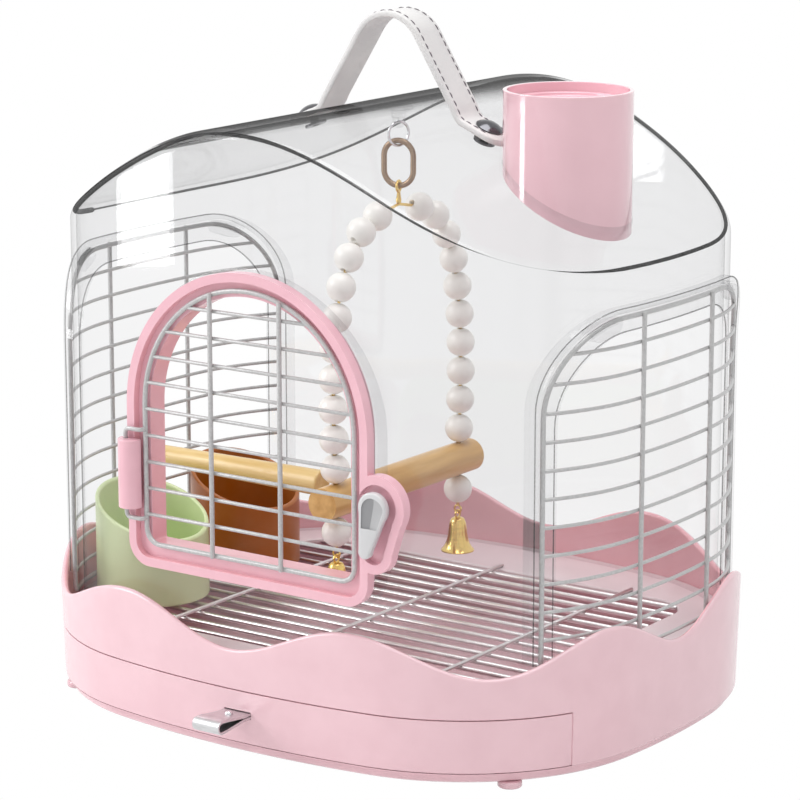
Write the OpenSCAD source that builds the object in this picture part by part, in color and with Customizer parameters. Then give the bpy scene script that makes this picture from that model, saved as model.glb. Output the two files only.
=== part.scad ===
// Portable bird cage: a bowed tray with a slide-out drawer under a clear gabled cover.
// Units are millimetres. X runs along the drawer front, -Y is the front and +Z is up.
// The origin lies on the ground under the middle of the tray.

/* [Plan] */
// Length of the tray along X
tray_len = 300; // [292:1:308]
// Depth of the tray along Y
tray_dep = 253.4; // [246:0.2:260]
// Bow radius of the left and right walls
side_bow_r = 385; // [370:5:400]
// Bow radius of the front and back walls
front_bow_r = 410; // [395:5:425]
// Radius of the four corners of the plan
corner_r = 96; // [92:1:99]

/* [Tray] */
// Height of the foot pads, one near each corner and one in the middle
foot_h = 3; // [2:0.5:5]
// Radius of a foot pad
foot_r = 5.2; // [4:0.1:6]
// How far the middle of a foot pad lies inside the corner arc
foot_inset = 7; // [6:0.5:10]
// Thickness of the tray wall
tray_wall = 3; // [2.4:0.1:3.2]
// Thickness of the tray floor
tray_floor_t = 4.5; // [3:0.5:5]
// How far the floor edge steps in from the wall
plinth_inset = 1.6; // [0.8:0.2:2.2]
// Height of the middle of the wavy rim above the ground
rim_mid_h = 56.5; // [54:0.5:60]
// Rise and fall of the wavy rim about its middle
rim_wave = 8; // [4:0.5:9]
// Height of the top of the ledge above the ground
ledge_top = 36; // [35:0.5:38]
// Thickness of the ledge plate
ledge_t = 2.5; // [2:0.1:3]
// Distance from the end of the grate's opening in the ledge to the end of the tray
grate_from_end = 43; // [38:1:50]
// Half depth of the grate opening in the ledge
grate_half_y = 82; // [78:1:86]
// Corner radius of the grate opening
grate_corner_r = 17; // [12:1:20]
// Diameter of a long grate rod
rod_d = 2.3; // [1.8:0.1:2.6]
// Spacing of the long grate rods
rod_pitch = 11; // [9:0.5:13]
// Diameter of a cross bar of the grate
cross_d = 1.8; // [1.4:0.1:2.2]
// Distance of the outer cross bars from the ends of the grate's opening
cross_from_end = 35; // [27:1:47]

/* [Drawer] */
// Distance from the drawer front's end to the end of the tray
drawer_end_gap = 12; // [10:1:20]
// Height of the lower drawer seam above the ground
drawer_low = 7.9; // [7.8:0.1:9]
// Height of the upper drawer seam above the ground
drawer_high = 30.7; // [26:0.1:31]
// Gap around the drawer
drawer_gap = 0.4; // [0.3:0.05:0.6]
// Wall thickness of the drawer
drawer_wall = 2; // [1.6:0.1:2.6]
// How far the drawer box is narrower than its front at each end
drawer_box_step = 7; // [5:1:18]
// Place of the drawer's back wall
drawer_back_y = 104; // [90:1:108]
// Width of the pull tab
tab_w = 14; // [10:0.5:20]
// Length of the pull tab
tab_len = 21; // [16:0.5:28]
// Height of the pull tab at its fold
tab_h = 6; // [5:0.2:8]
// Thickness of the pull tab's strap
tab_t = 1.2; // [0.8:0.1:1.4]
// Place of the pull tab along X
tab_x = 4.9; // [-10:0.1:12]

/* [Clear cover] */
// How far the cover's wall lies inside the tray's outline
cover_inset = 8; // [7.6:0.1:9]
// Wall thickness of the clear cover
cover_wall = 2.5; // [2:0.1:2.8]
// Height of the ridge above the ground
ridge_h = 269; // [264:0.5:274]
// Height of the eaves above the ground
eave_h = 213; // [208:0.5:218]
// Half wave length of the roof curve
roof_span = 160; // [150:1:170]
// Half width of the grille wire outline
grille_half_w = 77.3; // [72:0.1:78]
// Height of the top of the grille wire outline
grille_top = 194; // [185:0.5:196]
// Corner radius of the grille wire outline
grille_corner_r = 38; // [30:1:44]
// Height of the bottom of the grille wire outline
grille_low = 41; // [40:0.5:44]
// Half width of the clear hole behind the grille
grille_hole_half_w = 70; // [66:0.5:71]
// Height of the top of the clear hole behind the grille
grille_hole_top = 187; // [180:0.5:188]
// Half width over the clear rib round the grille
rib_half_w = 83; // [81.5:0.1:84]
// Height of the top of the clear rib
rib_top = 198.3; // [198:0.1:202]
// Width of the clear rib
rib_w = 3.2; // [2.4:0.1:3.4]
// Corner radius of the clear rib and of the hole behind the grille
rib_corner_r = 36; // [30:1:42]

/* [Wires] */
// Diameter of an outline wire
outline_d = 2.2; // [1.8:0.1:2.4]
// Diameter of an upright wire
upright_d = 2.1; // [1.6:0.1:2.4]
// Diameter of a level wire
level_d = 1.6; // [1.2:0.1:1.8]
// Spacing of the level wires of a grille
grille_pitch = 12; // [10:0.5:14]
// Height of the lowest level wire of a grille
grille_first = 50.2; // [48:0.2:53]
// How far a grille's wires lie inside the tray's outline
grille_inset = 6; // [6:0.1:6.4]
// Place of the two upright wires of a grille along Y
grille_upright_y = 28; // [20:0.5:34]

/* [Door] */
// Place of the middle of the door frame along X
frame_x = 8.4; // [2:0.2:12]
// Half width of the door frame
frame_half_w = 63.5; // [60:0.5:65]
// Height of the bottom of the door frame
frame_low = 77; // [74:0.5:80]
// Height of the centre of the frame's arch
arch_h = 147.3; // [142:0.5:150]
// Corner radius at the bottom of the door frame
frame_corner_r = 11; // [8:0.5:14]
// Width of the raised outer flange of the frame
flange_w = 4; // [3:0.1:4.6]
// Width of the whole frame ring
frame_w = 10.5; // [9.8:0.1:11]
// Distance of the frame's front face before the middle of the tray
frame_front = 123.5; // [123.4:0.1:124.4]
// Depth of the channel in the frame's face
channel_dep = 3.2; // [3:0.1:3.4]
// Half width of the wire door
door_half_w = 55.3; // [54.6:0.1:56]
// Height of the bottom of the wire door
door_low = 87; // [85.5:0.1:87.5]
// Spacing of the level wires of the door
door_pitch = 11.6; // [10:0.1:13]
// Height of the lowest level wire of the door
door_first = 100; // [98:0.5:102]
// Places of the door's upright wires from the middle of the door
door_upright_x = 18.2; // [14:0.2:24]
// Diameter of the door's hinge legs
hinge_leg_d = 2; // [1.6:0.1:2.2]
// Distance of the hinge axis from the left wire of the door
hinge_reach = 8.3; // [7.9:0.1:8.8]
// Radius of the half-round hinge barrel
barrel_r = 5.4; // [4.8:0.1:5.6]
// Height of the lower end of the hinge barrel
barrel_low = 102.6; // [101:0.2:104]
// Height of the upper end of the hinge barrel
barrel_high = 133; // [131:0.5:135]
// Radius of the round end of the latch knob
knob_r = 7; // [6:0.1:7.6]
// Radius of the tip of the latch knob
knob_tip_r = 3; // [2.4:0.1:3.4]
// Distance from the latch pivot to the middle of the knob's tip
knob_len = 19; // [17:0.5:20]
// Thickness of the latch knob
knob_t = 3.6; // [3:0.1:4.5]

/* [Top] */
// Outer radius of the feeder tube
feeder_r = 28; // [26:0.5:30]
// Wall thickness of the feeder tube
feeder_wall = 3.6; // [3:0.1:4.5]
// How far the feeder tube's rim rises above the ridge
feeder_rise = 10.7; // [6:0.5:15]
// Distance of the feeder tube's axis from the end of the tray
feeder_from_end = 63.7; // [60:0.5:66]
// Place of the feeder tube along Y
feeder_y = 3.2; // [-6:0.2:8]
// How far the lid lies below the feeder tube's rim
lid_drop = 4; // [2:0.5:8]
// Thickness of the feeder lid
lid_t = 3; // [2:0.5:5]
// Width of the handle strap
strap_w = 18; // [15:0.5:22]
// Thickness of the handle strap
strap_t = 2.8; // [2:0.1:3.2]
// How far the top of the handle strap rises above the ridge
strap_rise = 40; // [31:1:49]
// Radius of the bend at the top of the strap
strap_bend_r = 18; // [14:0.5:20]
// Length of each strap foot that lies on the roof
strap_foot_l = 21; // [19:0.5:23]
// Distance of each rivet from the strap's end
rivet_from_end = 11; // [9.5:0.5:12]
// Radius of a rivet head
rivet_r = 6.2; // [5:0.1:6.6]

/* [Perches and cups] */
// Diameter of the swing's perch
swing_d = 15; // [12:0.5:16]
// Half length of the swing's perch
swing_half_l = 58; // [55:1:62]
// Height of the swing's perch
swing_h = 97; // [94:0.5:100]
// Length of the stem between the swing's eye and its wire loop
eye_stem = 5.75; // [5.4:0.05:6.7]
// Half spread of the beaded loop
loop_half_w = 49.5; // [47:0.5:52]
// Diameter of a bead
bead_d = 13.2; // [12:0.1:13.4]
// Spacing of the beads along the wire
bead_pitch = 13.5; // [13.5:0.1:14]
// Diameter of the bead wire
bead_wire_d = 1.4; // [1:0.1:1.6]
// Diameter of a bell's mouth
bell_d = 15.5; // [12:0.5:17]
// Height of a bell
bell_h = 16; // [13:0.5:17]
// Height of the side perch
perch_h = 92.4; // [91:0.2:93.4]
// Place of the side perch along Y
perch_y = -12; // [-14:0.5:-10]
// Radius of the side perch at the wall
perch_wall_r = 4.8; // [4.4:0.1:5.4]
// Radius of the side perch at its free end
perch_end_r = 6; // [5:0.1:6.2]
// Place of the free end of the side perch along X
perch_end_x = -34; // [-40:1:-33]
// Radius of a cup
cup_r = 26; // [22:0.5:26.5]
// Wall thickness of a cup
cup_wall = 2; // [1.6:0.1:3]
// Height of the middle of a cup's slanted mouth above the ground
cup_mouth_h = 77; // [65:1:80]
// Slant of a cup's mouth in degrees
cup_slant = 21; // [10:1:25]
// Distance of the cups' middles from the end of the tray
cup_from_end = 42.5; // [41:0.5:50]
// Place of the green cup along Y
green_cup_y = -45; // [-46:0.5:-43]
// Place of the brown cup along Y
brown_cup_y = 24.5; // [22:0.5:30]

/* [Hidden] */

// Colours
pink = "#eebcc6";
ledge_grey = "#cfbfc4";
wire_grey = "#d8d8d8";
clear = [0.85, 0.92, 0.95, 0.35];
leather = "#e4e2e2";
steel = "#9a9a9a";
brass = "#c9a44c";
bronze = "#8d7560";
bead_white = "#f3f0ec";
wood = "#e3b661";
green = "#b7cf9a";
brown = "#b5713f";

// Clearances and overruns
over = 1; // every cut runs this far past the face it leaves
fit = 0.05; // radial clearance of a turning or sliding fit
seat = 0.3; // gap under a piece that stands on another body
boss_gap = 2.5; // free space round the latch knob inside its boss
door_shift = 0.7; // the wire door sits this far right of the frame's middle
weld = 0.25; // how far crossing wires sink into each other

// Plan of the tray: two side bows, two front bows and four corner arcs that touch them
half_x = tray_len / 2;
half_y = tray_dep / 2;
grate_half_x = half_x - grate_from_end;
cross_pitch = grate_half_x - cross_from_end;
drawer_half_w = half_x - drawer_end_gap;
drawer_box_half_w = drawer_half_w - drawer_box_step;
feeder_top = ridge_h + feeder_rise;
feeder_x = half_x - feeder_from_end;
strap_top = ridge_h + strap_rise;
strap_end_x = feeder_x - feeder_r - seat;
strap_foot_x = strap_end_x - strap_foot_l;
rivet_x = strap_end_x - rivet_from_end;
cup_x = cup_from_end - half_x;
side_c = [half_x - side_bow_r, 0];
back_c = [0, half_y - front_bow_r];
corner_c = let (
    line = back_c - side_c,
    gap = norm(line),
    from_side = side_bow_r - corner_r,
    from_back = front_bow_r - corner_r,
    along = (from_side * from_side - from_back * from_back + gap * gap) / (2 * gap),
    off = sqrt(from_side * from_side - along * along),
    u = line / gap)
    side_c + along * u + off * [-u[1], u[0]];
side_a = atan2(corner_c[1], corner_c[0] - side_c[0]);
back_a = atan2(corner_c[1] - back_c[1], corner_c[0]);
side_steps = 3;
corner_steps = 12;
back_steps = 4;

function polar(a) = [cos(a), sin(a)];
function quarter(inset) = concat(
    [for (i = [0:side_steps]) side_c + (side_bow_r - inset) * polar(side_a * i / side_steps)],
    [for (i = [1:corner_steps]) corner_c
        + (corner_r - inset) * polar(side_a + (back_a - side_a) * i / corner_steps)],
    [for (i = [1:back_steps]) back_c
        + (front_bow_r - inset) * polar(back_a + (90 - back_a) * i / back_steps)]);
function outline(inset) = let (q = quarter(inset), n = len(q)) concat(
    q,
    [for (i = [n - 2:-1:0]) [-q[i][0], q[i][1]]],
    [for (i = [1:n - 1]) [-q[i][0], -q[i][1]]],
    [for (i = [n - 2:-1:1]) [q[i][0], -q[i][1]]]);

// Half length of the plan along X at a given distance from the middle, on the corner arc or the bow
function plan_x(y, inset) = abs(y) < corner_c[1] + (corner_r - inset) * sin(side_a)
    ? side_c[0] + sqrt(pow(side_bow_r - inset, 2) - y * y)
    : corner_c[0] + sqrt(pow(corner_r - inset, 2) - pow(abs(y) - corner_c[1], 2));

// Heights that stack up
floor_top = foot_h + tray_floor_t;
rim_high = rim_mid_h + rim_wave;
cross_z = ledge_top + cross_d / 2;
rod_z = ledge_top - rod_d / 2;
cover_low = ledge_top + seat;
wave_steps = 96;
wave_count = 8;
roof_steps = 24;

function rim_z(a) = rim_mid_h - rim_wave * cos(wave_count * a);
function roof_z(x) = eave_h + (ridge_h - eave_h) * (1 + cos(180 * x / roof_span)) / 2;
function roof_slope(x) = -(ridge_h - eave_h) * sin(180 * x / roof_span) * PI / roof_span / 2;

module plan(inset) {
    polygon(outline(inset));
}

module plan_ring(outer, inner, low, high) {
    translate([0, 0, low]) linear_extrude(high - low) difference() {
        plan(outer);
        plan(inner);
    }
}

// A prism whose section is drawn in X and Z, from one depth to another
module front_prism(front, back) {
    translate([0, back, 0]) rotate([90, 0, 0]) linear_extrude(back - front) children();
}

// A prism whose section is drawn in Y and Z, right through the length of the tray on one side
module side_prism(side) {
    translate([side > 0 ? 0 : -half_x - over, 0, 0])
        rotate([90, 0, 90]) linear_extrude(half_x + over) children();
}

// Everything above the wavy rim: its lower face follows the wave
module above_rim() {
    far_share = 1.35;
    near_share = 0.75;
    top = rim_high + over;
    n = wave_steps;
    function rim_dir(i) = [half_x * cos(360 * i / n), half_y * sin(360 * i / n)];
    function rim_pt(i, share, z) = [rim_dir(i)[0] * share, rim_dir(i)[1] * share, z];
    points = [for (i = [0:n - 1], k = [0:3])
        rim_pt(i, k % 3 == 0 ? near_share : far_share, k < 2 ? rim_z(360 * i / n) : top)];
    faces = [for (i = [0:n - 1], k = [0:3]) let (
            a = 4 * i + k,
            b = 4 * i + (k + 1) % 4,
            c = 4 * ((i + 1) % n) + (k + 1) % 4,
            d = 4 * ((i + 1) % n) + k)
        each [[a, b, c], [a, c, d]]];
    polyhedron(points, faces, convexity = 6);
}

// Tray

module tray() {
    rail_half_y = drawer_box_half_w / 3;
    rail_t = tray_wall / 2;
    color(pink) difference() {
        union() {
            difference() {
                plan_ring(0, tray_wall, foot_h, rim_high + over / 2);
                above_rim();
            }
            translate([0, 0, foot_h]) linear_extrude(tray_floor_t) plan(plinth_inset);
            plan_ring(tray_wall / 2, tray_wall * 2, ledge_top - ledge_t - tray_wall / 2,
                ledge_top - ledge_t);
            for (s = [-1, 1])
                translate([s * (drawer_box_half_w + drawer_gap + rail_t / 2) - rail_t / 2,
                    -rail_half_y, foot_h])
                    cube([rail_t, 2 * rail_half_y, drawer_high - foot_h]);
        }
        translate([-drawer_half_w - drawer_gap, -half_y - over, drawer_low - drawer_gap])
            cube([2 * (drawer_half_w + drawer_gap), half_y + over,
                drawer_high - drawer_low + 2 * drawer_gap]);
        plan_ring(-over, plinth_inset, foot_h - over, drawer_low - drawer_gap);
    }
}

module foot_pads() {
    place = corner_c + (corner_r - foot_inset) * polar(side_a / 2 + back_a / 2);
    color(pink) for (sx = [-1, 1], sy = [-1, 1])
        translate([sx * place[0], sy * place[1], 0]) cylinder(r = foot_r, h = foot_h, $fn = 48);
    color(pink) cylinder(r = foot_r, h = foot_h, $fn = 48);
}

module rounded_rect(hx, hy, r) {
    square([2 * hx, 2 * (hy - r)], center = true);
    square([2 * (hx - r), 2 * hy], center = true);
    for (sx = [-1, 1], sy = [-1, 1])
        translate([sx * (hx - r), sy * (hy - r)]) circle(r = r, $fn = 48);
}

module ledge() {
    color(ledge_grey) translate([0, 0, ledge_top - ledge_t]) linear_extrude(ledge_t) difference() {
        plan(tray_wall + fit);
        rounded_rect(grate_half_x, grate_half_y, grate_corner_r);
    }
}

module grate() {
    run = grate_half_y - rod_d * 2;
    count = floor(run / rod_pitch);
    end_gap = rod_d / 2;
    function rod_half(y) = let (deep = abs(y) - grate_half_y + grate_corner_r)
        grate_half_x - end_gap
        - (deep > 0 ? grate_corner_r - sqrt(pow(grate_corner_r, 2) - deep * deep) : 0);
    color(wire_grey) for (i = [-count:count])
        translate([-rod_half(i * rod_pitch), i * rod_pitch, rod_z])
            rotate([0, 90, 0])
                cylinder(d = rod_d, h = 2 * rod_half(i * rod_pitch), $fn = 16);
}

// The cross bars lie on the rods, and their ends rest on the ledge.
module grate_bars() {
    cross_half = grate_half_y + cross_d * 2;
    color(wire_grey) for (i = [-1:1])
        translate([i * cross_pitch, -cross_half, cross_z])
            rotate([-90, 0, 0]) cylinder(d = cross_d, h = 2 * cross_half, $fn = 16);
}

// Drawer

module drawer() {
    low = drawer_low;
    high = drawer_high;
    module box_plan(inset, wall) {
        difference() {
            plan(inset);
            for (s = [-1, 1])
                translate([s * (drawer_box_half_w - wall + half_x), 0])
                    square([tray_len, tray_dep], center = true);
            translate([-half_x, drawer_back_y - wall]) square([tray_len, half_y]);
        }
    }
    slot_half_h = tab_root_h / 2 + seat;
    slot_half_w = tab_w / 2 + fit;
    color(pink) {
        difference() {
            plan_ring(0, tray_wall, low, high);
            for (s = [-1, 1]) translate([s * (drawer_half_w + half_x), 0, high])
                cube([tray_len, 2 * tray_dep, 2 * high], center = true);
            translate([-half_x - over, 0, 0])
                cube([tray_len + 2 * over, half_y + over, high + over]);
            translate([tab_x - slot_half_w, -half_y - over, tab_z - slot_half_h])
                cube([2 * slot_half_w, tray_wall + over, 2 * slot_half_h]);
        }
        difference() {
            translate([0, 0, low]) linear_extrude(high - low - over) intersection() {
                box_plan(tray_wall, 0);
                union() {
                    translate([-half_x, -half_y]) square([tray_len, half_y]);
                    plan(tray_wall + drawer_gap);
                }
            }
            translate([0, 0, low + drawer_wall]) linear_extrude(high)
                box_plan(tray_wall + drawer_wall, drawer_wall);
        }
    }
}

tab_z = (drawer_low + drawer_high) / 2 + tab_t;
tab_root_h = tab_t * 2 + fit * 4;

module pull_tab() {
    root = half_y - tray_wall / 2;
    fold = half_y + tab_len - tab_h / 2;
    module wedge(t) {
        translate([-fold, 0]) circle(d = tab_h - 2 * t, $fn = 32);
        polygon([[-fold, tab_h / 2 - t], [-fold, t - tab_h / 2],
            [-root + t, t - tab_root_h / 2 - fit], [-root + t, tab_root_h / 2 - t + fit]]);
    }
    color(steel) difference() {
        translate([tab_x - tab_w / 2, 0, tab_z]) rotate([90, 0, 90]) linear_extrude(tab_w)
            difference() {
                wedge(0);
                wedge(tab_t);
            }
        translate([tab_x, -half_y - tab_t * 4, tab_z - tab_h])
            cylinder(d = tab_t * 1.6 + 2 * fit, h = 2 * tab_h, $fn = 24);
    }
}

module tab_rivet() {
    head_h = tab_t;
    reach = tab_root_h / 2 + tab_t * 0.7;
    color("#e8e8e8") translate([tab_x, -half_y - tab_t * 4, tab_z]) {
        translate([0, 0, -reach]) cylinder(d = tab_t * 1.6, h = 2 * reach, $fn = 24);
        for (s = [-1, 1])
            translate([0, 0, s * (reach + head_h / 2) - head_h / 2])
                cylinder(d = tab_t * 3, h = head_h, $fn = 24);
    }
}

// Clear cover

rib_inset = tray_wall + seat;

// Arched outline in Y and Z: straight sides, rounded shoulders and a flat top
module arch(half_w, top, r, low) {
    translate([-half_w, low]) square([2 * half_w, top - r - low]);
    translate([-half_w + r, low]) square([2 * (half_w - r), top - low]);
    for (s = [-1, 1]) translate([s * (half_w - r), top - r]) circle(r = r, $fn = 64);
}

module under_roof(drop) {
    x_end = half_x + over;
    rotate([90, 0, 0]) linear_extrude(tray_dep + 2 * over, center = true)
        polygon(concat(
            [[x_end, 0], for (i = [roof_steps:-1:-roof_steps])
                let (x = x_end * i / roof_steps) [x, roof_z(x) - drop]],
            [[-x_end, 0]]));
}

module door_shape(inset) {
    w = frame_half_w - inset;
    r = max(frame_corner_r - inset, over);
    low = frame_low + inset;
    translate([frame_x, arch_h]) circle(r = w, $fn = 96);
    translate([frame_x - w, low + r]) square([2 * w, arch_h - low - r]);
    translate([frame_x - w + r, low]) square([2 * (w - r), arch_h - low]);
    for (s = [-1, 1]) translate([frame_x + s * (w - r), low + r]) circle(r = r, $fn = 48);
}

// Two circles, the second one below the first, joined a little inside their outer tangents
module teardrop(r_top, r_low, dist, tuck = 0.97) {
    a = -asin((r_top - r_low) / dist);
    circle(r = r_top, $fn = 48);
    translate([0, -dist]) circle(r = r_low, $fn = 48);
    polygon([r_top * tuck * polar(a), [0, -dist] + r_low * tuck * polar(a),
        [0, -dist] + r_low * tuck * polar(180 - a), r_top * tuck * polar(180 - a)]);
}

knob_x = frame_x + frame_half_w + knob_r * 0.66;
knob_z = arch_h - frame_half_w * 0.41;
knob_lean = -12;
boss_rim = flange_w + boss_gap;

module boss_shape(inset) {
    translate([knob_x, knob_z]) rotate(knob_lean / 2)
        teardrop(knob_r + boss_rim - inset, knob_tip_r + boss_rim - inset, knob_len);
}

frame_back = frame_front - channel_dep - tray_wall / 2;
neck_out = frame_w / 2;
neck_back = frame_back - cover_inset;
collar_edge = tray_wall / 2;

module feeder_place() {
    translate([feeder_x, feeder_y, 0]) children();
}

// Puts its children on the roof at a place along X, square to the slope
module on_roof(x, drop = 0) {
    translate([x, 0, roof_z(x) - drop]) rotate([0, -atan(roof_slope(x)), 0]) children();
}

// The clear cover is moulded in one. Its roof and four walls are drawn as nodes that meet face to face.
module roof() {
    color(clear) difference() {
        intersection() {
            translate([0, 0, cover_low]) linear_extrude(ridge_h) plan(cover_inset);
            under_roof(0);
        }
        under_roof(cover_wall);
        feeder_place() translate([0, 0, eave_h / 2])
            cylinder(r = feeder_r + fit, h = eave_h, $fn = 96);
        for (s = [-1, 1]) on_roof(s * rivet_x)
            translate([0, 0, -cover_wall * 2]) cylinder(r = shank_r + fit, h = cover_wall * 4,
                $fn = 32);
    }
}

module side_ribs() {
    block_w = rib_w * 2;
    intersection() {
        plan_ring(rib_inset, cover_inset + cover_wall / 2, cover_low, ridge_h + over);
        for (s = [-1, 1]) side_prism(s) difference() {
            union() {
                arch(rib_half_w, rib_top, rib_corner_r, cover_low);
                translate([-rib_half_w - block_w, cover_low])
                    square([2 * (rib_half_w + block_w), rim_mid_h - cover_low]);
            }
            arch(rib_half_w - rib_w, rib_top - rib_w, rib_corner_r, cover_low - over);
        }
    }
}

wall_cut_x = plan_x(rib_half_w + 3 * rib_w, cover_inset);

module walls() {
    intersection() {
        plan_ring(cover_inset, cover_inset + cover_wall, cover_low, ridge_h);
        under_roof(cover_wall);
    }
}

// The front wall or the back wall, with half its depth and its side of the middle
module long_wall(y) {
    intersection() {
        walls();
        translate([-wall_cut_x, y, 0]) cube([2 * wall_cut_x, half_y, ridge_h]);
    }
}

module side_wall(side) {
    difference() {
        union() {
            intersection() {
                walls();
                translate([side > 0 ? wall_cut_x : -half_x, -half_y, 0])
                    cube([half_x - wall_cut_x, 2 * half_y, ridge_h]);
            }
            intersection() {
                side_ribs();
                translate([side > 0 ? 0 : -half_x, -half_y, 0]) cube([half_x, 2 * half_y, ridge_h]);
            }
        }
        translate([0, 0, cover_low - over]) linear_extrude(ridge_h)
            plan(cover_inset + cover_wall);
        side_prism(side)
            arch(grille_hole_half_w, grille_hole_top, rib_corner_r, grille_low + outline_d);
        translate([perch_screw_head, perch_y, perch_h]) rotate([0, 90, 0])
            cylinder(r = perch_screw_r + fit, h = 2 * over, $fn = 24);
    }
}

module front_wall() {
    color(clear) difference() {
        union() {
            long_wall(-half_y);
            front_prism(-frame_back, -frame_back + cover_inset * 1.5) {
                door_shape(-collar_edge);
                boss_shape(-collar_edge);
            }
        }
        translate([0, 0, cover_low - over]) linear_extrude(ridge_h)
            plan(cover_inset + cover_wall);
        front_prism(-half_y, -half_y / 2) door_shape(neck_out - fit);
        translate([knob_x, -frame_back - over, knob_z])
            rotate([-90, 0, 0]) cylinder(r = pin_r, h = pin_deep + over, $fn = 24);
    }
}

module back_wall() {
    color(clear) long_wall(0);
}

module left_wall() {
    color(clear) side_wall(-1);
}

module right_wall() {
    color(clear) side_wall(1);
}

// Front door

pin_r = 1.5;
pin_deep = cover_inset / 2;

module door_frame() {
    peg_len = level_d * 2.5;
    color(pink) {
        difference() {
            union() {
                front_prism(-frame_front, -frame_back) {
                    door_shape(0);
                    boss_shape(0);
                }
                front_prism(-frame_back - over, -neck_back) door_shape(neck_out);
            }
            front_prism(-frame_front - over, -frame_front + channel_dep) {
                door_shape(flange_w);
                boss_shape(flange_w);
            }
            front_prism(-frame_front - over, -neck_back + over) door_shape(frame_w);
            translate([knob_x, -frame_front, knob_z])
                rotate([-90, 0, 0]) cylinder(r = pin_r + fit, h = cover_inset, $fn = 24);
        }
        for (z = [door_level(3) - 3 * level_d, door_level(2) + 2 * level_d,
                door_level(0) + 4 * level_d])
            translate([frame_x + frame_half_w - frame_w - peg_len + level_d, -frame_back + 2 * level_d,
                z])
                rotate([0, 90, 0]) cylinder(d = level_d * 1.7, h = peg_len, $fn = 24);
    }
}

door_x = frame_x + door_shift;
door_left = door_x - door_half_w;
door_y = -frame_front + outline_d / 2 + level_d / 4;
hinge_x = door_left - hinge_reach;
hinge_y = -frame_front - hinge_leg_d / 2 - level_d / 2;
barrel_x = hinge_x + barrel_r / 3;
door_arch_h = arch_h + (frame_low + frame_w - door_low);

module hinge_barrel() {
    color(pink) difference() {
        translate([barrel_x, -frame_front - tray_wall / 3, barrel_low])
            cylinder(r = barrel_r, h = barrel_high - barrel_low, $fn = 64);
        translate([barrel_x - barrel_r - over, -frame_front, barrel_low - over])
            cube([2 * (barrel_r + over), barrel_r + over, barrel_high - barrel_low + 2 * over]);
        translate([hinge_x, hinge_y, barrel_low - over])
            cylinder(r = hinge_leg_d / 2 + fit, h = barrel_high - barrel_low + 2 * over, $fn = 32);
    }
}

function door_level(i) = door_first + i * door_pitch;
function door_half(z) = z < door_arch_h ? door_half_w
    : sqrt(pow(door_half_w, 2) - pow(z - door_arch_h, 2));

// A quarter bend of wire in the X and Z plane
module wire_bend(r, d, from, sweep) {
    rotate([90, 0, 0]) rotate([0, 0, from]) rotate_extrude(angle = sweep, $fn = 96)
        translate([r, 0]) circle(d = d, $fn = 16);
}

module wire_door() {
    bend_r = 7;
    leg_up = hinge_leg_d * 2.2;
    leg_in = hinge_leg_d * 2.4;
    color(wire_grey) translate([0, door_y, 0]) {
        translate([door_x, 0, door_arch_h]) wire_bend(door_half_w, outline_d, 0, 180);
        for (s = [-1, 1]) {
            translate([door_x + s * door_half_w, 0, door_low + bend_r])
                cylinder(d = outline_d, h = door_arch_h - door_low - bend_r, $fn = 16);
            translate([door_x + s * (door_half_w - bend_r), 0, door_low + bend_r])
                wire_bend(bend_r, outline_d, s > 0 ? 270 : 180, 90);
            translate([door_x + s * door_upright_x, (weld - (level_d + upright_d) / 2), door_low])
                cylinder(d = upright_d, h = door_arch_h - door_low
                    + sqrt(pow(door_half_w, 2) - pow(door_upright_x, 2)), $fn = 16);
        }
        translate([door_x - door_half_w + bend_r, 0, door_low]) rotate([0, 90, 0])
            cylinder(d = outline_d, h = 2 * (door_half_w - bend_r), $fn = 16);
        for (i = [0:floor((door_arch_h + door_half_w - door_first - door_pitch / 2) / door_pitch)])
            translate([door_x - door_half(door_level(i)), 0, door_level(i)]) rotate([0, 90, 0])
                cylinder(d = level_d, h = 2 * door_half(door_level(i)), $fn = 16);
        for (up = [0, 1]) let (
                z = up ? barrel_high + leg_up : barrel_low - leg_up,
                y = hinge_y - door_y) {
            translate([door_left, 0, z]) rotate([90, 0, 0])
                cylinder(d = hinge_leg_d, h = -y, $fn = 16);
            translate([hinge_x, y, z]) rotate([0, 90, 0])
                cylinder(d = hinge_leg_d, h = hinge_reach, $fn = 16);
            translate([hinge_x, y, up ? z - leg_up - leg_in : z])
                cylinder(d = hinge_leg_d, h = leg_up + leg_in, $fn = 32);
            for (x = [hinge_x, door_left]) translate([x, y, z]) sphere(d = hinge_leg_d, $fn = 24);
        }
    }
}

module latch_knob() {
    back = frame_front + seat;
    hub_back = frame_front - channel_dep + seat;
    color("#e9e9ea") difference() {
        union() {
            translate([knob_x, 0, knob_z]) rotate([0, -knob_lean, 0]) translate([-knob_x, 0, -knob_z])
                front_prism(-back - knob_t, -back) translate([knob_x, knob_z])
                    teardrop(knob_r, knob_tip_r, knob_len, tuck = 0.95);
            translate([knob_x, -hub_back, knob_z]) rotate([90, 0, 0])
                cylinder(r = knob_r - 2 * pin_r, h = back - hub_back + weld, $fn = 48);
        }
        translate([knob_x, -back - knob_t + pin_r, knob_z]) rotate([-90, 0, 0])
            cylinder(r = pin_r + fit, h = back, $fn = 32);
    }
}

module latch_pin() {
    color(steel) translate([knob_x, -frame_front - knob_t + pin_r + weld, knob_z])
        rotate([-90, 0, 0])
            cylinder(r = pin_r, h = knob_t - pin_r - weld + frame_front - frame_back + pin_deep
                - weld, $fn = 32);
}

// Grilles

grille_count = floor((grille_top - grille_first - grille_pitch / 2) / grille_pitch);
function grille_level(i) = grille_first + i * grille_pitch;
function grille_half(z) = let (up = z - grille_top + grille_corner_r)
    up < 0 ? grille_half_w
        : grille_half_w - grille_corner_r + sqrt(pow(grille_corner_r, 2) - up * up);

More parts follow.
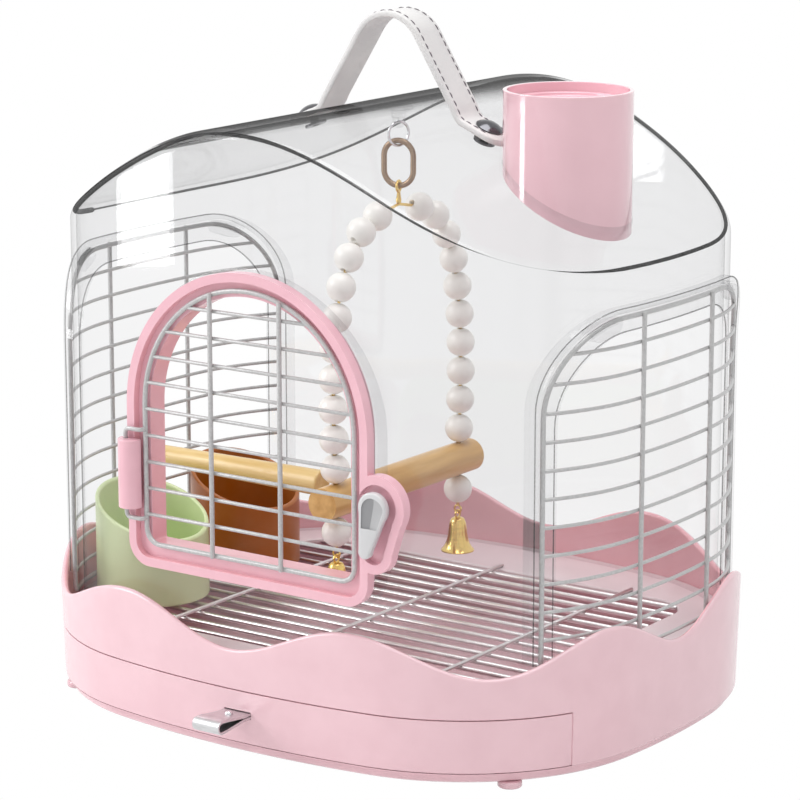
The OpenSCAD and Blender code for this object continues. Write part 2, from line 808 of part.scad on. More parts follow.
// A tube of even sides along a row of points, open or closed
module tube(path, d, sides = 8, closed = false) {
    n = len(path);
    function dir(i) = let (
            a = path[closed ? (i + n - 1) % n : max(i - 1, 0)],
            b = path[closed ? (i + 1) % n : min(i + 1, n - 1)])
        (b - a) / norm(b - a);
    function across(i) = let (c = cross(dir(i), [1, 0, 0])) c / norm(c);
    points = [for (i = [0:n - 1], k = [0:sides - 1]) let (
            u = across(i),
            v = cross(dir(i), u))
        path[i] + d / 2 * (cos(360 * k / sides) * u + sin(360 * k / sides) * v)];
    rings = closed ? n : n - 1;
    walls = [for (i = [0:rings - 1], k = [0:sides - 1]) let (
            a = i * sides + k,
            b = i * sides + (k + 1) % sides,
            c = ((i + 1) % n) * sides + (k + 1) % sides,
            e = ((i + 1) % n) * sides + k)
        each [[a, c, b], [a, e, c]]];
    caps = closed ? [] : [[for (k = [0:sides - 1]) k],
        [for (k = [sides - 1:-1:0]) (n - 1) * sides + k]];
    polyhedron(points, concat(walls, caps), convexity = 8);
}

// A point of the right grille, wrapped on the wall
function on_wall(y, z, inset) = [plan_x(y, inset), y, z];

// Outline of the right grille: an arch wrapped on the wall
module grille_outline() {
    r = grille_corner_r;
    shoulder = 9;
    foot_bend = outline_d * 2;
    low = grille_low + foot_bend;
    right = concat(
        [for (i = [0:2]) [grille_half_w, low + (grille_top - r - low) * i / 3]],
        [for (i = [0:shoulder]) [grille_half_w - r, grille_top - r] + r * polar(90 * i / shoulder)],
        [for (i = [2:-1:0]) [(grille_half_w - r) * i / 3, grille_top]]);
    left = [for (i = [len(right) - 2:-1:0]) [-right[i][0], right[i][1]]];
    bottom = [for (i = [-5:5]) [(grille_half_w - foot_bend) * i / 5, grille_low]];
    tube([for (p = concat(right, left, bottom)) on_wall(p[0], p[1], grille_inset)], outline_d,
        closed = true);
}

module right_grille_wires() {
    upright_in = grille_inset - (level_d + upright_d) / 2 + weld;
    pieces = 12;
    grille_outline();
    for (i = [0:grille_count])
        let (z = grille_level(i), half_len = grille_half(z))
            tube([for (k = [0:pieces])
                on_wall(half_len * (2 * k / pieces - 1), z, grille_inset)], level_d, sides = 6);
    for (s = [-1, 1])
        tube([on_wall(s * grille_upright_y, grille_low, upright_in),
            on_wall(s * grille_upright_y, grille_top, upright_in)], upright_d);
}

module right_grille() {
    color(wire_grey) right_grille_wires();
}

module left_grille() {
    color(wire_grey) mirror([1, 0, 0]) right_grille_wires();
}

module grille_clips() {
    clip_y = grille_half_w * 0.67;
    half_l = rib_w * 2.6;
    half_h = rib_w * 1.4;
    groove = outline_d / 2 + seat;
    clip_z = grille_top - grille_corner_r
        + sqrt(pow(grille_corner_r, 2) - pow(clip_y - grille_half_w + grille_corner_r, 2));
    color(clear) for (s = [-1, 1]) intersection() {
        difference() {
            plan_ring(rib_inset, cover_inset, cover_low, ridge_h);
            intersection() {
                plan_ring(grille_inset - groove, cover_inset + over, cover_low, ridge_h);
                side_prism(s) difference() {
                    arch(grille_half_w + groove, grille_top + groove,
                        grille_corner_r + groove, grille_low);
                    arch(grille_half_w - groove, grille_top - groove,
                        grille_corner_r - groove, grille_low - over);
                }
            }
        }
        side_prism(s) intersection() {
            arch(rib_half_w - rib_w, rib_top - rib_w, rib_corner_r, grille_low);
            for (t = [-1, 1]) translate([t * clip_y, clip_z]) rotate(-t * 20) {
                square([2 * (half_l - half_h), 2 * half_h], center = true);
                for (e = [-1, 1]) translate([e * (half_l - half_h), 0])
                    circle(r = half_h, $fn = 32);
            }
        }
    }
}

// Feeder

module feeder_tube() {
    bore = feeder_r - feeder_wall;
    step = feeder_wall / 2;
    lid_low = feeder_top - lid_drop - lid_t - seat;
    color(pink) difference() {
        feeder_place() translate([0, 0, eave_h]) difference() {
            cylinder(r = feeder_r, h = feeder_top - eave_h, $fn = 96);
            translate([0, 0, -over])
                cylinder(r = bore, h = feeder_top - eave_h + 2 * over, $fn = 96);
            translate([0, 0, lid_low - eave_h])
                cylinder(r = bore + step, h = feeder_top, $fn = 96);
        }
        under_roof(cover_wall + feeder_wall);
    }
}

module feeder_lid() {
    lid_r = feeder_r - feeder_wall / 2 - seat;
    grip_r = feeder_wall;
    color(pink) feeder_place() translate([0, 0, feeder_top - lid_drop - lid_t]) difference() {
        cylinder(r = lid_r, h = lid_t, $fn = 96);
        translate([0, 0, lid_t / 2]) cylinder(r = lid_r - grip_r, h = lid_t, $fn = 96);
    }
}

// Handle

shank_r = 2;

// The strap's shape in X and Z, offset from its middle line
function strap_side(off) = let (
        top_c = strap_top - strap_t / 2 - strap_bend_r,
        foot = [strap_foot_x, roof_z(strap_foot_x) + strap_t],
        away = foot - [0, top_c],
        tangent = atan2(away[1], away[0]) + acos(strap_bend_r / norm(away)),
        steps = 10,
        touch = [0, top_c] + strap_bend_r * polar(tangent),
        leg = (foot - touch) / norm(foot - touch),
        square_off = [-leg[1], leg[0]])
    concat(
        [for (i = [0:steps]) [0, top_c]
            + (strap_bend_r + off) * polar(90 - (90 - tangent) * i / steps)],
        [foot + off * square_off - leg * strap_t],
        [for (i = [0:4]) let (x = strap_foot_x + (strap_end_x - strap_foot_x) * (i + 0.35) / 4.35)
            [x, roof_z(x) + fit + strap_t / 2 + off]]);

module handle_strap() {
    outer = strap_side(strap_t / 2);
    inner = strap_side(-strap_t / 2);
    n = len(outer);
    function flip(p) = [-p[0], p[1]];
    side = concat(outer, [for (i = [n - 1:-1:0]) inner[i]], [for (i = [1:n - 1]) flip(inner[i])],
        [for (i = [n - 1:-1:1]) flip(outer[i])]);
    color(leather) difference() {
        intersection() {
            front_prism(-strap_w / 2, strap_w / 2) polygon(side);
            translate([0, 0, eave_h]) linear_extrude(strap_top - eave_h + over) {
                square([2 * (strap_end_x - strap_w / 2), strap_w], center = true);
                for (s = [-1, 1]) translate([s * (strap_end_x - strap_w / 2), 0])
                    circle(d = strap_w, $fn = 64);
            }
        }
        for (s = [-1, 1]) on_roof(s * rivet_x)
            cylinder(r = shank_r + fit, h = strap_t * 3, $fn = 32);
    }
}

module handle_rivets() {
    head_h = rivet_r / 3;
    dome_r = (rivet_r * rivet_r + head_h * head_h) / (2 * head_h);
    top = strap_t * 1.1 + fit;
    low = cover_wall * 1.15;
    washer_h = cover_wall / 2;
    color("#3a3a3c") for (s = [-1, 1]) on_roof(s * rivet_x) {
        translate([0, 0, -low - washer_h]) cylinder(r = shank_r, h = top + low + washer_h + over,
            $fn = 32);
        translate([0, 0, -low - washer_h]) cylinder(r = rivet_r * 0.8, h = washer_h, $fn = 48);
        translate([0, 0, top]) cylinder(r = rivet_r, h = head_h / 2, $fn = 48);
        intersection() {
            translate([0, 0, top + head_h * 1.5 - dome_r]) sphere(r = dome_r, $fn = 96);
            translate([0, 0, top + head_h / 4]) cylinder(r = rivet_r, h = head_h * 2, $fn = 48);
        }
    }
}

// Swing

ring_turn = 70;
link_turn = 15;
ring_wire_r = 0.65;
link_wire_r = 1.3;
ring_r = 5.35;
link_half_w = 6.9;
link_half_h = 10.05;
hang_gap = 0.05;
eye_r = 2.3;
eye_wire_r = 0.7;
hook_hole_r = 1.4;
hook_drop = 6.6;
hook_z = ridge_h - cover_wall - hook_drop;
ring_z = hook_z - hook_hole_r + ring_wire_r + seat - ring_r;
link_top = ring_z - ring_r + ring_wire_r + link_wire_r + seat;
link_z = link_top - link_half_h;
eye_z = link_z - link_half_h + link_wire_r + eye_wire_r + hang_gap - eye_r;
loop_top = eye_z - eye_r - eye_stem;

module swing_hook() {
    flange_r = 6.3;
    flange_t = 1.5;
    body_r = 3.2;
    tab_half_t = 1.2;
    root = ridge_h - cover_wall;
    color(clear) difference() {
        union() {
            intersection() {
                translate([0, 0, root - flange_t]) cylinder(r = flange_r, h = flange_t, $fn = 48);
                under_roof(cover_wall + fit);
            }
            translate([0, 0, hook_z + hook_hole_r + hang_gap])
                cylinder(r = body_r, h = root - flange_t / 2 - hook_z - hook_hole_r - hang_gap,
                    $fn = 48);
            rotate([0, 0, ring_turn - 90]) translate([-body_r, -tab_half_t, hook_z])
                cube([2 * body_r, 2 * tab_half_t, hook_drop - flange_t]);
            translate([0, 0, hook_z]) rotate([90, 0, ring_turn - 90])
                cylinder(r = body_r, h = 2 * tab_half_t, center = true, $fn = 48);
        }
        translate([0, 0, hook_z]) rotate([90, 0, ring_turn - 90])
            cylinder(r = hook_hole_r, h = 4 * body_r, center = true, $fn = 32);
    }
}

// A full ring of round wire standing in the X and Z plane
module upright_ring(r, wire_r) {
    rotate([90, 0, 0]) rotate_extrude($fn = 64) translate([r, 0]) circle(r = wire_r, $fn = 16);
}

module split_ring() {
    color("#c9c9cb") translate([0, 0, ring_z]) rotate([0, 0, ring_turn])
        upright_ring(ring_r, ring_wire_r);
}

module oval_link() {
    straight = link_half_h - link_half_w;
    color(bronze) translate([0, 0, link_z]) rotate([0, 0, link_turn]) {
        for (up = [0, 1]) translate([0, 0, (2 * up - 1) * straight])
            wire_bend(link_half_w, 2 * link_wire_r, up ? 0 : 180, 180);
        for (s = [-1, 1]) translate([s * link_half_w, 0, -straight])
            cylinder(r = link_wire_r, h = 2 * straight, $fn = 16);
    }
}

module swing_eye() {
    color(brass) {
        translate([0, 0, eye_z]) rotate([0, 0, 90 + link_turn]) upright_ring(eye_r, eye_wire_r);
        translate([0, 0, loop_top + bead_wire_d / 2])
            cylinder(r = eye_wire_r * 1.4, h = eye_z - eye_r - loop_top - bead_wire_d / 2, $fn = 24);
    }
}

// Right half of the beaded loop, as shares of its half spread and of its height
loop_shares = [[0, 1], [0.3, 0.978], [0.58, 0.93], [0.76, 0.85], [0.88, 0.75], [0.95, 0.63],
    [0.99, 0.5], [1, 0.36], [0.99, 0.2], [0.97, 0.08], [0.96, 0]];
bell_y = loop_half_w * loop_shares[len(loop_shares) - 1][0];
loop_path = [for (p = loop_shares)
    [p[0] * loop_half_w, swing_h + p[1] * (loop_top - swing_h)]];
loop_steps = [for (i = [1:len(loop_path) - 1]) norm(loop_path[i] - loop_path[i - 1])];
function sum_to(v, n) = n <= 0 ? 0 : v[n - 1] + sum_to(v, n - 1);
function step_at(s, i = 1) = i >= len(loop_path) - 1 || s <= sum_to(loop_steps, i) ? i
    : step_at(s, i + 1);
function along(s) = let (i = step_at(s), t = (s - sum_to(loop_steps, i - 1)) / loop_steps[i - 1])
    loop_path[i - 1] + t * (loop_path[i] - loop_path[i - 1]);
function lean_at(s) = let (d = along(s + bead_d / 4) - along(s - bead_d / 4)) atan2(d[0], -d[1]);
loop_len = sum_to(loop_steps, len(loop_steps));
bead_last = loop_len - swing_d / 2 - bead_d / 2 - seat;
bead_count = floor((bead_last - bead_d) / bead_pitch);

// A bead with its bore along the wire
module bead(y, z, lean) {
    translate([0, y, z]) rotate([lean, 0, 0]) difference() {
        sphere(d = bead_d, $fn = 48);
        cylinder(r = bead_wire_d * 1.6, h = bead_d + 2 * over, center = true, $fn = 24);
    }
}

module side_beads(side) {
    color(bead_white) for (i = [0:bead_count])
        let (s = bead_last - i * bead_pitch, p = along(s))
            bead(side * p[0], p[1], side * lean_at(s));
}

module near_beads() {
    side_beads(-1);
}

module far_beads() {
    side_beads(1);
}

end_bead_z = swing_h - swing_d / 2 - bead_d / 2 - seat;
hang_r = 1.8;
hang_z = end_bead_z - bead_d / 2 - hang_r - bead_wire_d;

module end_beads() {
    color(bead_white) for (s = [-1, 1]) bead(s * bell_y, end_bead_z, 0);
}

module swing_wire() {
    right = [for (p = loop_path) [0, p[0], p[1]]];
    left = [for (i = [len(right) - 1:-1:1]) [0, -right[i][1], right[i][2]]];
    color(brass) {
        tube(concat(left, right), bead_wire_d);
        for (s = [-1, 1]) translate([0, s * bell_y, 0]) {
            translate([0, 0, hang_z + hang_r]) cylinder(d = bead_wire_d,
                h = swing_h - hang_z - hang_r, $fn = 16);
            translate([0, 0, hang_z]) upright_ring(hang_r, bead_wire_d / 3);
        }
    }
}

module swing_perch() {
    color(wood) difference() {
        translate([0, -swing_half_l, swing_h]) rotate([-90, 0, 0])
            cylinder(d = swing_d, h = 2 * swing_half_l, $fn = 64);
        for (s = [-1, 1]) translate([0, s * bell_y, swing_h - swing_d])
            cylinder(d = bead_wire_d * 1.8, h = 2 * swing_d, $fn = 24);
    }
}

bell_wall = 0.8;
bell_loop_r = 1.8;
bell_wire_r = 0.5;
bell_pivot = hang_z - hang_r;
bell_loop_z = bell_pivot + bead_wire_d / 3 + bell_wire_r + seat - bell_loop_r;
bell_top = bell_loop_z - bell_loop_r + bell_wire_r / 2;

// Profile of a bell as shares of its mouth radius and of its height
bell_shares = [[0, 1], [0.22, 1], [0.42, 0.93], [0.52, 0.78], [0.57, 0.55], [0.64, 0.35],
    [0.78, 0.17], [1, 0]];

module bell() {
    mouth = bell_d / 2;
    outside = [for (p = bell_shares) [p[0] * mouth, (p[1] - 1) * bell_h]];
    inside = [for (i = [len(bell_shares) - 1:-1:0])
        [max(bell_shares[i][0] * mouth - bell_wall, 0),
            (bell_shares[i][1] - 1) * bell_h - (i < 3 ? bell_wall : 0)]];
    translate([0, 0, bell_top]) rotate_extrude($fn = 48) polygon(concat(outside, inside));
    translate([0, 0, bell_loop_z]) rotate([0, 0, 90]) upright_ring(bell_loop_r, bell_wire_r);
}

clapper_pivot = bell_top - bell_wall - bell_wire_r;

module clapper() {
    ball_r = bell_d * 0.13;
    rod_r = bell_wire_r;
    drop = bell_h * 0.86;
    translate([0, 0, bell_top - drop]) sphere(r = ball_r, $fn = 32);
    translate([0, 0, bell_top - drop]) cylinder(r = rod_r, h = drop - bell_wall - hang_gap * 4,
        $fn = 16);
}

module near_bell() {
    color(brass) translate([0, -bell_y, 0]) bell();
}

module far_bell() {
    color(brass) translate([0, bell_y, 0]) bell();
}

module near_clapper() {
    color(bronze) translate([0, -bell_y, 0]) clapper();
}

module far_clapper() {
    color(bronze) translate([0, bell_y, 0]) clapper();
}

// Side perch, held on the left grille between two level wires

perch_screw_r = 1.8;
washer_r = 7.4;
washer_t = 1.2;
screw_head_r = 3.4;
wire_x = plan_x(perch_y, grille_inset);
perch_screw_head = -wire_x - level_d / 2 - weld - washer_t - washer_t;

module side_perch() {
    start = -wire_x + level_d / 2 + weld + washer_t;
    color(wood) difference() {
        translate([start, perch_y, perch_h]) rotate([0, 90, 0])
            cylinder(r1 = perch_wall_r, r2 = perch_end_r, h = perch_end_x - start, $fn = 64);
        translate([start - over, perch_y, perch_h]) rotate([0, 90, 0])
            cylinder(r = perch_screw_r, h = washer_t * 12 + over, $fn = 24);
    }
}

module perch_screw() {
    color(steel) translate([perch_screw_head, perch_y, perch_h]) rotate([0, 90, 0]) {
        cylinder(r = screw_head_r, h = washer_t, $fn = 32);
        cylinder(r = perch_screw_r, h = washer_t * 14, $fn = 24);
    }
}

module perch_washers() {
    color(steel) for (x = [-wire_x - level_d / 2 - weld - washer_t,
            -wire_x + level_d / 2 + weld])
        translate([x, perch_y, perch_h]) rotate([0, 90, 0]) difference() {
            cylinder(r = washer_r, h = washer_t, $fn = 48);
            translate([0, 0, -over]) cylinder(r = perch_screw_r + fit, h = washer_t + 2 * over,
                $fn = 24);
        }
}

// Cups

module cup(y) {
    low = ledge_top + seat;
    mouth = cup_mouth_h - low;
    translate([cup_x, y, low]) difference() {
        cylinder(r = cup_r, h = mouth + cup_r, $fn = 96);
        translate([0, 0, cup_wall]) cylinder(r = cup_r - cup_wall, h = mouth + cup_r, $fn = 96);
        translate([0, 0, mouth]) rotate([cup_slant / 5, cup_slant, 0])
            translate([-2 * cup_r, -2 * cup_r, 0]) cube([4 * cup_r, 4 * cup_r, 2 * cup_r]);
    }
}

module green_cup() {
    color(green) cup(green_cup_y);
}

module brown_cup() {
    color(brown) cup(brown_cup_y);
}

tray();
foot_pads();
ledge();
grate();
grate_bars();
drawer();
pull_tab();
tab_rivet();
roof();
front_wall();
back_wall();
left_wall();
right_wall();
door_frame();
hinge_barrel();
wire_door();
latch_knob();
latch_pin();
left_grille();
right_grille();
grille_clips();
feeder_tube();
feeder_lid();
handle_strap();
handle_rivets();
swing_hook();
split_ring();
oval_link();
swing_eye();
swing_wire();
near_beads();
far_beads();
end_beads();
swing_perch();
near_bell();
far_bell();
near_clapper();
far_clapper();
side_perch();
perch_screw();
perch_washers();
green_cup();
brown_cup();
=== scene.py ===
import math

import bmesh
import bpy
from mathutils import Matrix, Vector


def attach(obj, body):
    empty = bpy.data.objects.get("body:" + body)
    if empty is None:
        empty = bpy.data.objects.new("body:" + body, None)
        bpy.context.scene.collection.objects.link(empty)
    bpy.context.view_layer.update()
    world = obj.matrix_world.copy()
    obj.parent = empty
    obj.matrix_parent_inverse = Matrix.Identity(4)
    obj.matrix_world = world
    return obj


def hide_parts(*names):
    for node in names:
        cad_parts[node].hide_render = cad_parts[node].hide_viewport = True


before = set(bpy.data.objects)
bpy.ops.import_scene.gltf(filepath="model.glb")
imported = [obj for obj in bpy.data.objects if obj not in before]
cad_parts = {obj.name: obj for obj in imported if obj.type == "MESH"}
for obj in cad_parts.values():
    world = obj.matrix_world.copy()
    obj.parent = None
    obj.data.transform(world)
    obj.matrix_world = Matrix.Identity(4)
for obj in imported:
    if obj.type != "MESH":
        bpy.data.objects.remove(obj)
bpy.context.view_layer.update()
# Metres in a millimetre, and the distance within which points are one
MM, WELD = 0.001, 2e-6

# Camera: the photograph's viewing angle

AZIMUTH, ELEVATION, DISTANCE = math.radians(35.31), math.radians(12.75), 1.45155
TARGET = Vector((0.00072, 0.0, 0.13358))


def make_camera():
    """The camera, where the photographer stood."""
    away = Vector((math.sin(AZIMUTH) * math.cos(ELEVATION),
                   -math.cos(AZIMUTH) * math.cos(ELEVATION), math.sin(ELEVATION)))
    data = bpy.data.cameras.new("camera")
    data.lens, data.sensor_width = 145.33, 36.0
    camera = bpy.data.objects.new("camera", data)
    camera.location = TARGET + away * DISTANCE
    camera.rotation_euler = (-away).to_track_quat("-Z", "Y").to_euler()
    bpy.context.scene.collection.objects.link(camera)
    bpy.context.scene.camera = camera


make_camera()

# Sizes in mm, as in the CAD source

HALF_X, HALF_Y = 150.0, 126.7
SIDE_R, FRONT_R, CORNER_R = 385.0, 410.0, 96.0
RIM_MID, RIM_WAVE, RIM_WAVES = 56.5, 8.0, 8
DRAFT, DRAFT_TOP, DRAFT_RISE = 1.5, 58.0, 56.0
COVER_INSET, COVER_WALL, COVER_LOW, FILLET = 8.0, 2.5, 36.3, 5.0
EAVE_Z, RIDGE_Z, ROOF_SPAN = 213.0, 269.0, 160.0
DOOR_X, DOOR_HALF, DOOR_LOW, DOOR_MID, DOOR_CORNER = 8.4, 63.5, 77.0, 147.3, 11.0
HOLE_HALF, HOLE_TOP, HOLE_R, HOLE_LOW = 70.0, 187.0, 36.0, 43.2
RIB_LOW = 52.0
LOOP_WIRE_R, LEVEL_WIRE_R, UPRIGHT_R, UPRIGHT_OUT = 1.1, 0.8, 1.05, 1.6
TAB_X, TAB_Z = 4.9, 20.5
SWING_END, SWING_WIRE_R = 47.52, 0.7


def plan_arcs():
    """Centres of the side, back and corner arcs, and the angles at which the corner begins."""
    side, back = Vector((HALF_X - SIDE_R, 0.0)), Vector((0.0, HALF_Y - FRONT_R))
    line = back - side
    gap = line.length
    from_side, from_back = SIDE_R - CORNER_R, FRONT_R - CORNER_R
    along = (from_side ** 2 - from_back ** 2 + gap ** 2) / (2 * gap)
    off = math.sqrt(from_side ** 2 - along ** 2)
    u = line / gap
    corner = side + along * u + off * Vector((-u.y, u.x))
    return (side, back, corner, math.atan2(corner.y, corner.x - side.x),
            math.atan2(corner.y - back.y, corner.x))


SIDE_C, BACK_C, CORNER_C, SIDE_A, BACK_A = plan_arcs()


def quarter(fine):
    """Centre, radius and angle of each step along one quarter of the plan, from +X to +Y."""
    n_side, n_corner, n_back = int(8 * fine), int(28 * fine), int(16 * fine)
    steps = [(SIDE_C, SIDE_R, SIDE_A * i / n_side) for i in range(n_side)]
    steps += [(CORNER_C, CORNER_R, SIDE_A + (BACK_A - SIDE_A) * i / n_corner)
              for i in range(n_corner)]
    steps += [(BACK_C, FRONT_R, BACK_A + (math.pi / 2 - BACK_A) * i / n_back)
              for i in range(n_back + 1)]
    return steps


def plan_points(inset, fine):
    """The tray's outline moved inwards, all the way round from +X."""
    q = [c + (r - inset) * Vector((math.cos(a), math.sin(a))) for c, r, a in quarter(fine)]
    n = len(q)
    pts = [(p.x, p.y) for p in q]
    pts += [(-q[i].x, q[i].y) for i in range(n - 2, -1, -1)]
    pts += [(-q[i].x, -q[i].y) for i in range(1, n)]
    pts += [(q[i].x, -q[i].y) for i in range(n - 2, 0, -1)]
    return pts


def plan_x(y, inset):
    """Half length of the plan along X at a distance from the middle."""
    y = abs(y)
    if y < CORNER_C.y + (CORNER_R - inset) * math.sin(SIDE_A):
        return SIDE_C.x + math.sqrt((SIDE_R - inset) ** 2 - y * y)
    return CORNER_C.x + math.sqrt(max((CORNER_R - inset) ** 2 - (y - CORNER_C.y) ** 2, 0.0))


def rim_z(x, y):
    """Height of the tray's wavy rim."""
    return RIM_MID - RIM_WAVE * math.cos(RIM_WAVES * math.atan2(y / HALF_Y, x / HALF_X))


def roof_z(x):
    """Height of the gabled roof, whose profile is a cosine."""
    return EAVE_Z + (RIDGE_Z - EAVE_Z) * (1 + math.cos(math.pi * x / ROOF_SPAN)) / 2


def roof_slope(x):
    """Slope of the roof at a distance from the ridge."""
    return -(RIDGE_Z - EAVE_Z) * math.sin(math.pi * x / ROOF_SPAN) * math.pi / ROOF_SPAN / 2


def draft(v):
    """The tray's walls lean in a little towards the ground."""
    x, y, z = v
    lean = DRAFT * min(max((DRAFT_TOP - z) / DRAFT_RISE, 0.0), 1.0)
    f = 1 - lean / max(math.hypot(x, y), 1.0)
    return (x * f, y * f, z)


def wall_y(x, inset):
    """Half depth of the plan at a distance from the middle."""
    x = abs(x)
    if x < CORNER_C.x + (CORNER_R - inset) * math.cos(BACK_A):
        return BACK_C.y + math.sqrt((FRONT_R - inset) ** 2 - x * x)
    return CORNER_C.y + math.sqrt((CORNER_R - inset) ** 2 - (x - CORNER_C.x) ** 2)


def arc(cx, cy, r, start, end, n):
    """Points of an arc between two angles in degrees."""
    return [(cx + r * math.cos(math.radians(start + (end - start) * k / n)),
             cy + r * math.sin(math.radians(start + (end - start) * k / n)))
            for k in range(n + 1)]


def circle(n):
    """Cosine and sine of n even steps round a circle."""
    return [(math.cos(2 * math.pi * k / n), math.sin(2 * math.pi * k / n)) for k in range(n)]


def half_arch(half, top, r, low, n_side, n_arc, n_top):
    """Right half of an arch with rounded corners, from its foot to the middle of its top."""
    spring = top - r
    pts = [(half, low + (spring - low) * k / n_side) for k in range(n_side)]
    pts += arc(half - r, spring, r, 0, 90, n_arc)
    return pts + [((half - r) * (1 - k / n_top), top) for k in range(1, n_top + 1)]


def mirrored(pts):
    """The right half and its mirror image, with the point that both share once."""
    return pts + [(-a, b) for a, b in reversed(pts[:-1])]


# Mesh building

class Shape:
    """Collects vertices in mm and faces, then becomes one object."""

    def __init__(self):
        self.v, self.f = [], []

    def add(self, verts, faces):
        base = len(self.v)
        self.v += [tuple(p) for p in verts]
        self.f += [tuple(base + i for i in face) for face in faces]

    def grid(self, rows, wrap_u=False, wrap_v=False):
        """Rows of equal length joined into a sheet.

        wrap_u closes each row and wrap_v joins the last row to the first.
        """
        n, m = len(rows[0]), len(rows)
        faces = []
        for j in range(m if wrap_v else m - 1):
            for i in range(n if wrap_u else n - 1):
                a, b = j * n + i, j * n + (i + 1) % n
                c, d = ((j + 1) % m) * n + (i + 1) % n, ((j + 1) % m) * n + i
                faces.append((a, b, c, d))
        self.add([p for row in rows for p in row], faces)

    def loft(self, rows):
        """Closed rows of equal length joined into a solid with flat ends."""
        base, n = len(self.v), len(rows[0])
        self.grid(rows, wrap_u=True)
        for start in (base, base + (len(rows) - 1) * n):
            self.f.append(tuple(start + k for k in range(n)))

    def tube(self, path, r, n=12, closed=False):
        """Round wire along a path, with one radius or one for each point; open ends are domed."""
        pts = [Vector(p) for p in path]
        count = len(pts)
        radii = list(r) if isinstance(r, (list, tuple)) else [r] * count

        def direction(i):
            a = pts[(i - 1) % count] if closed else pts[max(i - 1, 0)]
            b = pts[(i + 1) % count] if closed else pts[min(i + 1, count - 1)]
            return (b - a).normalized()

        d0 = direction(0)
        u = d0.orthogonal().normalized()
        rings, prev = [], d0
        for i in range(count):
            d = direction(i)
            u = (prev.rotation_difference(d) @ u).normalized()
            u = (u - d * u.dot(d)).normalized()
            prev = d
            rings.append((pts[i], d, u, d.cross(u)))
        if closed:
            # twist the rings so that the last one meets the first
            u_end = (rings[-1][1].rotation_difference(rings[0][1]) @ rings[-1][2]).normalized()
            first = rings[0]
            turn = math.atan2(u_end.dot(first[3]), u_end.dot(first[2]))
            for i, (p, d, a, b) in enumerate(rings):
                t = -turn * i / count
                rings[i] = (p, d, a * math.cos(t) + b * math.sin(t),
                            b * math.cos(t) - a * math.sin(t))

        def ring(p, a, b, radius):
            return [tuple(p + radius * (c * a + s * b)) for c, s in circle(n)]

        def dome(end, radius, way, shares):
            """Rings of a flat dome on one end."""
            p, d, a, b = end
            return [ring(p + way * d * radius * math.sqrt(1 - t * t) * 0.5, a, b, radius * t)
                    for t in shares]

        rows = [ring(p, a, b, radius) for (p, _, a, b), radius in zip(rings, radii)]
        if closed:
            self.grid(rows, wrap_u=True, wrap_v=True)
        else:
            self.loft(dome(rings[0], radii[0], -1, (0.1, 0.5, 0.87)) + rows
                      + dome(rings[-1], radii[-1], 1, (0.87, 0.5, 0.1)))

    def lathe(self, profile, n=48, at=(0, 0, 0), turn=None):
        """Profile of (radius, height) turned about +Z, then turned and moved into place."""
        m = turn or Matrix.Identity(3)
        rows = [[tuple(m @ Vector((r * c, r * s, z)) + Vector(at)) for c, s in circle(n)]
                for r, z in profile]
        base = len(self.v)
        self.grid(rows, wrap_u=True)
        if profile[0][0] > 1e-6:
            self.f.append(tuple(base + k for k in range(n - 1, -1, -1)))
        if profile[-1][0] > 1e-6:
            last = base + (len(rows) - 1) * n
            self.f.append(tuple(last + k for k in range(n)))

    def piece(self, name, mat, body, replaces=(), sharp=35, merge=True):
        """The shape as an object on a body, for the CAD nodes that it replaces."""
        mesh = bpy.data.meshes.new(name)
        mesh.from_pydata([(x * MM, y * MM, z * MM) for x, y, z in self.v], [], self.f)
        return finish_piece(name, mesh, mat, body, replaces, sharp, merge)


def shade(mesh, sharp=35, merge=True):
    """Smooth shading with an edge wherever two faces meet at more than an angle."""
    bm = bmesh.new()
    bm.from_mesh(mesh)
    if merge:
        bmesh.ops.remove_doubles(bm, verts=bm.verts, dist=WELD)
    bmesh.ops.recalc_face_normals(bm, faces=bm.faces)
    for face in bm.faces:
        face.smooth = True
    for edge in bm.edges:
        if len(edge.link_faces) == 2:
            edge.smooth = edge.calc_face_angle(0.0) < math.radians(sharp)
    bm.to_mesh(mesh)
    bm.free()


def finish_piece(name, mesh, mat, body, replaces=(), sharp=35, merge=True):
    """A mesh as an object with its shading, material, body and replaced nodes."""
    shade(mesh, sharp, merge)
    mesh.materials.clear()
    mesh.materials.append(mat)
    ob = bpy.data.objects.new(name, mesh)
    bpy.context.scene.collection.objects.link(ob)
    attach(ob, body)
    if replaces:
        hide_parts(*replaces)
    return ob


def bevel(ob, width, segments=3, angle=35):
    """Rounds the edges at which faces meet at more than an angle."""
    mod = ob.modifiers.new("round", "BEVEL")
    mod.width, mod.segments = width * MM, segments
    mod.limit_method, mod.angle_limit = "ANGLE", math.radians(angle)
    mod.harden_normals = False
    mod.miter_outer = "MITER_ARC"


def dressed(node, body, mat, width, segments=3, angle=35, move=None):
    """A copy of a CAD node's mesh with its flat faces merged and its edges rounded."""
    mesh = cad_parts[node].data.copy()
    bm = bmesh.new()
    bm.from_mesh(mesh)
    bmesh.ops.remove_doubles(bm, verts=bm.verts, dist=WELD)
    bmesh.ops.dissolve_limit(bm, angle_limit=math.radians(0.6), verts=bm.verts, edges=bm.edges)
    if move:
        for v in bm.verts:
            v.co = Vector(move(tuple(v.co / MM))) * MM
    bm.to_mesh(mesh)
    bm.free()
    ob = finish_piece(node + "_look", mesh, mat, body, (node,), merge=False)
    if width:
        bevel(ob, width, segments, angle)
    return ob


def paint(ob, mat, wanted):
    """Gives a second material to the faces that a test picks by their middle and normal in mm."""
    ob.data.materials.append(mat)
    for face in ob.data.polygons:
        if wanted(face.center / MM, face.normal):
            face.material_index = len(ob.data.materials) - 1


# Materials

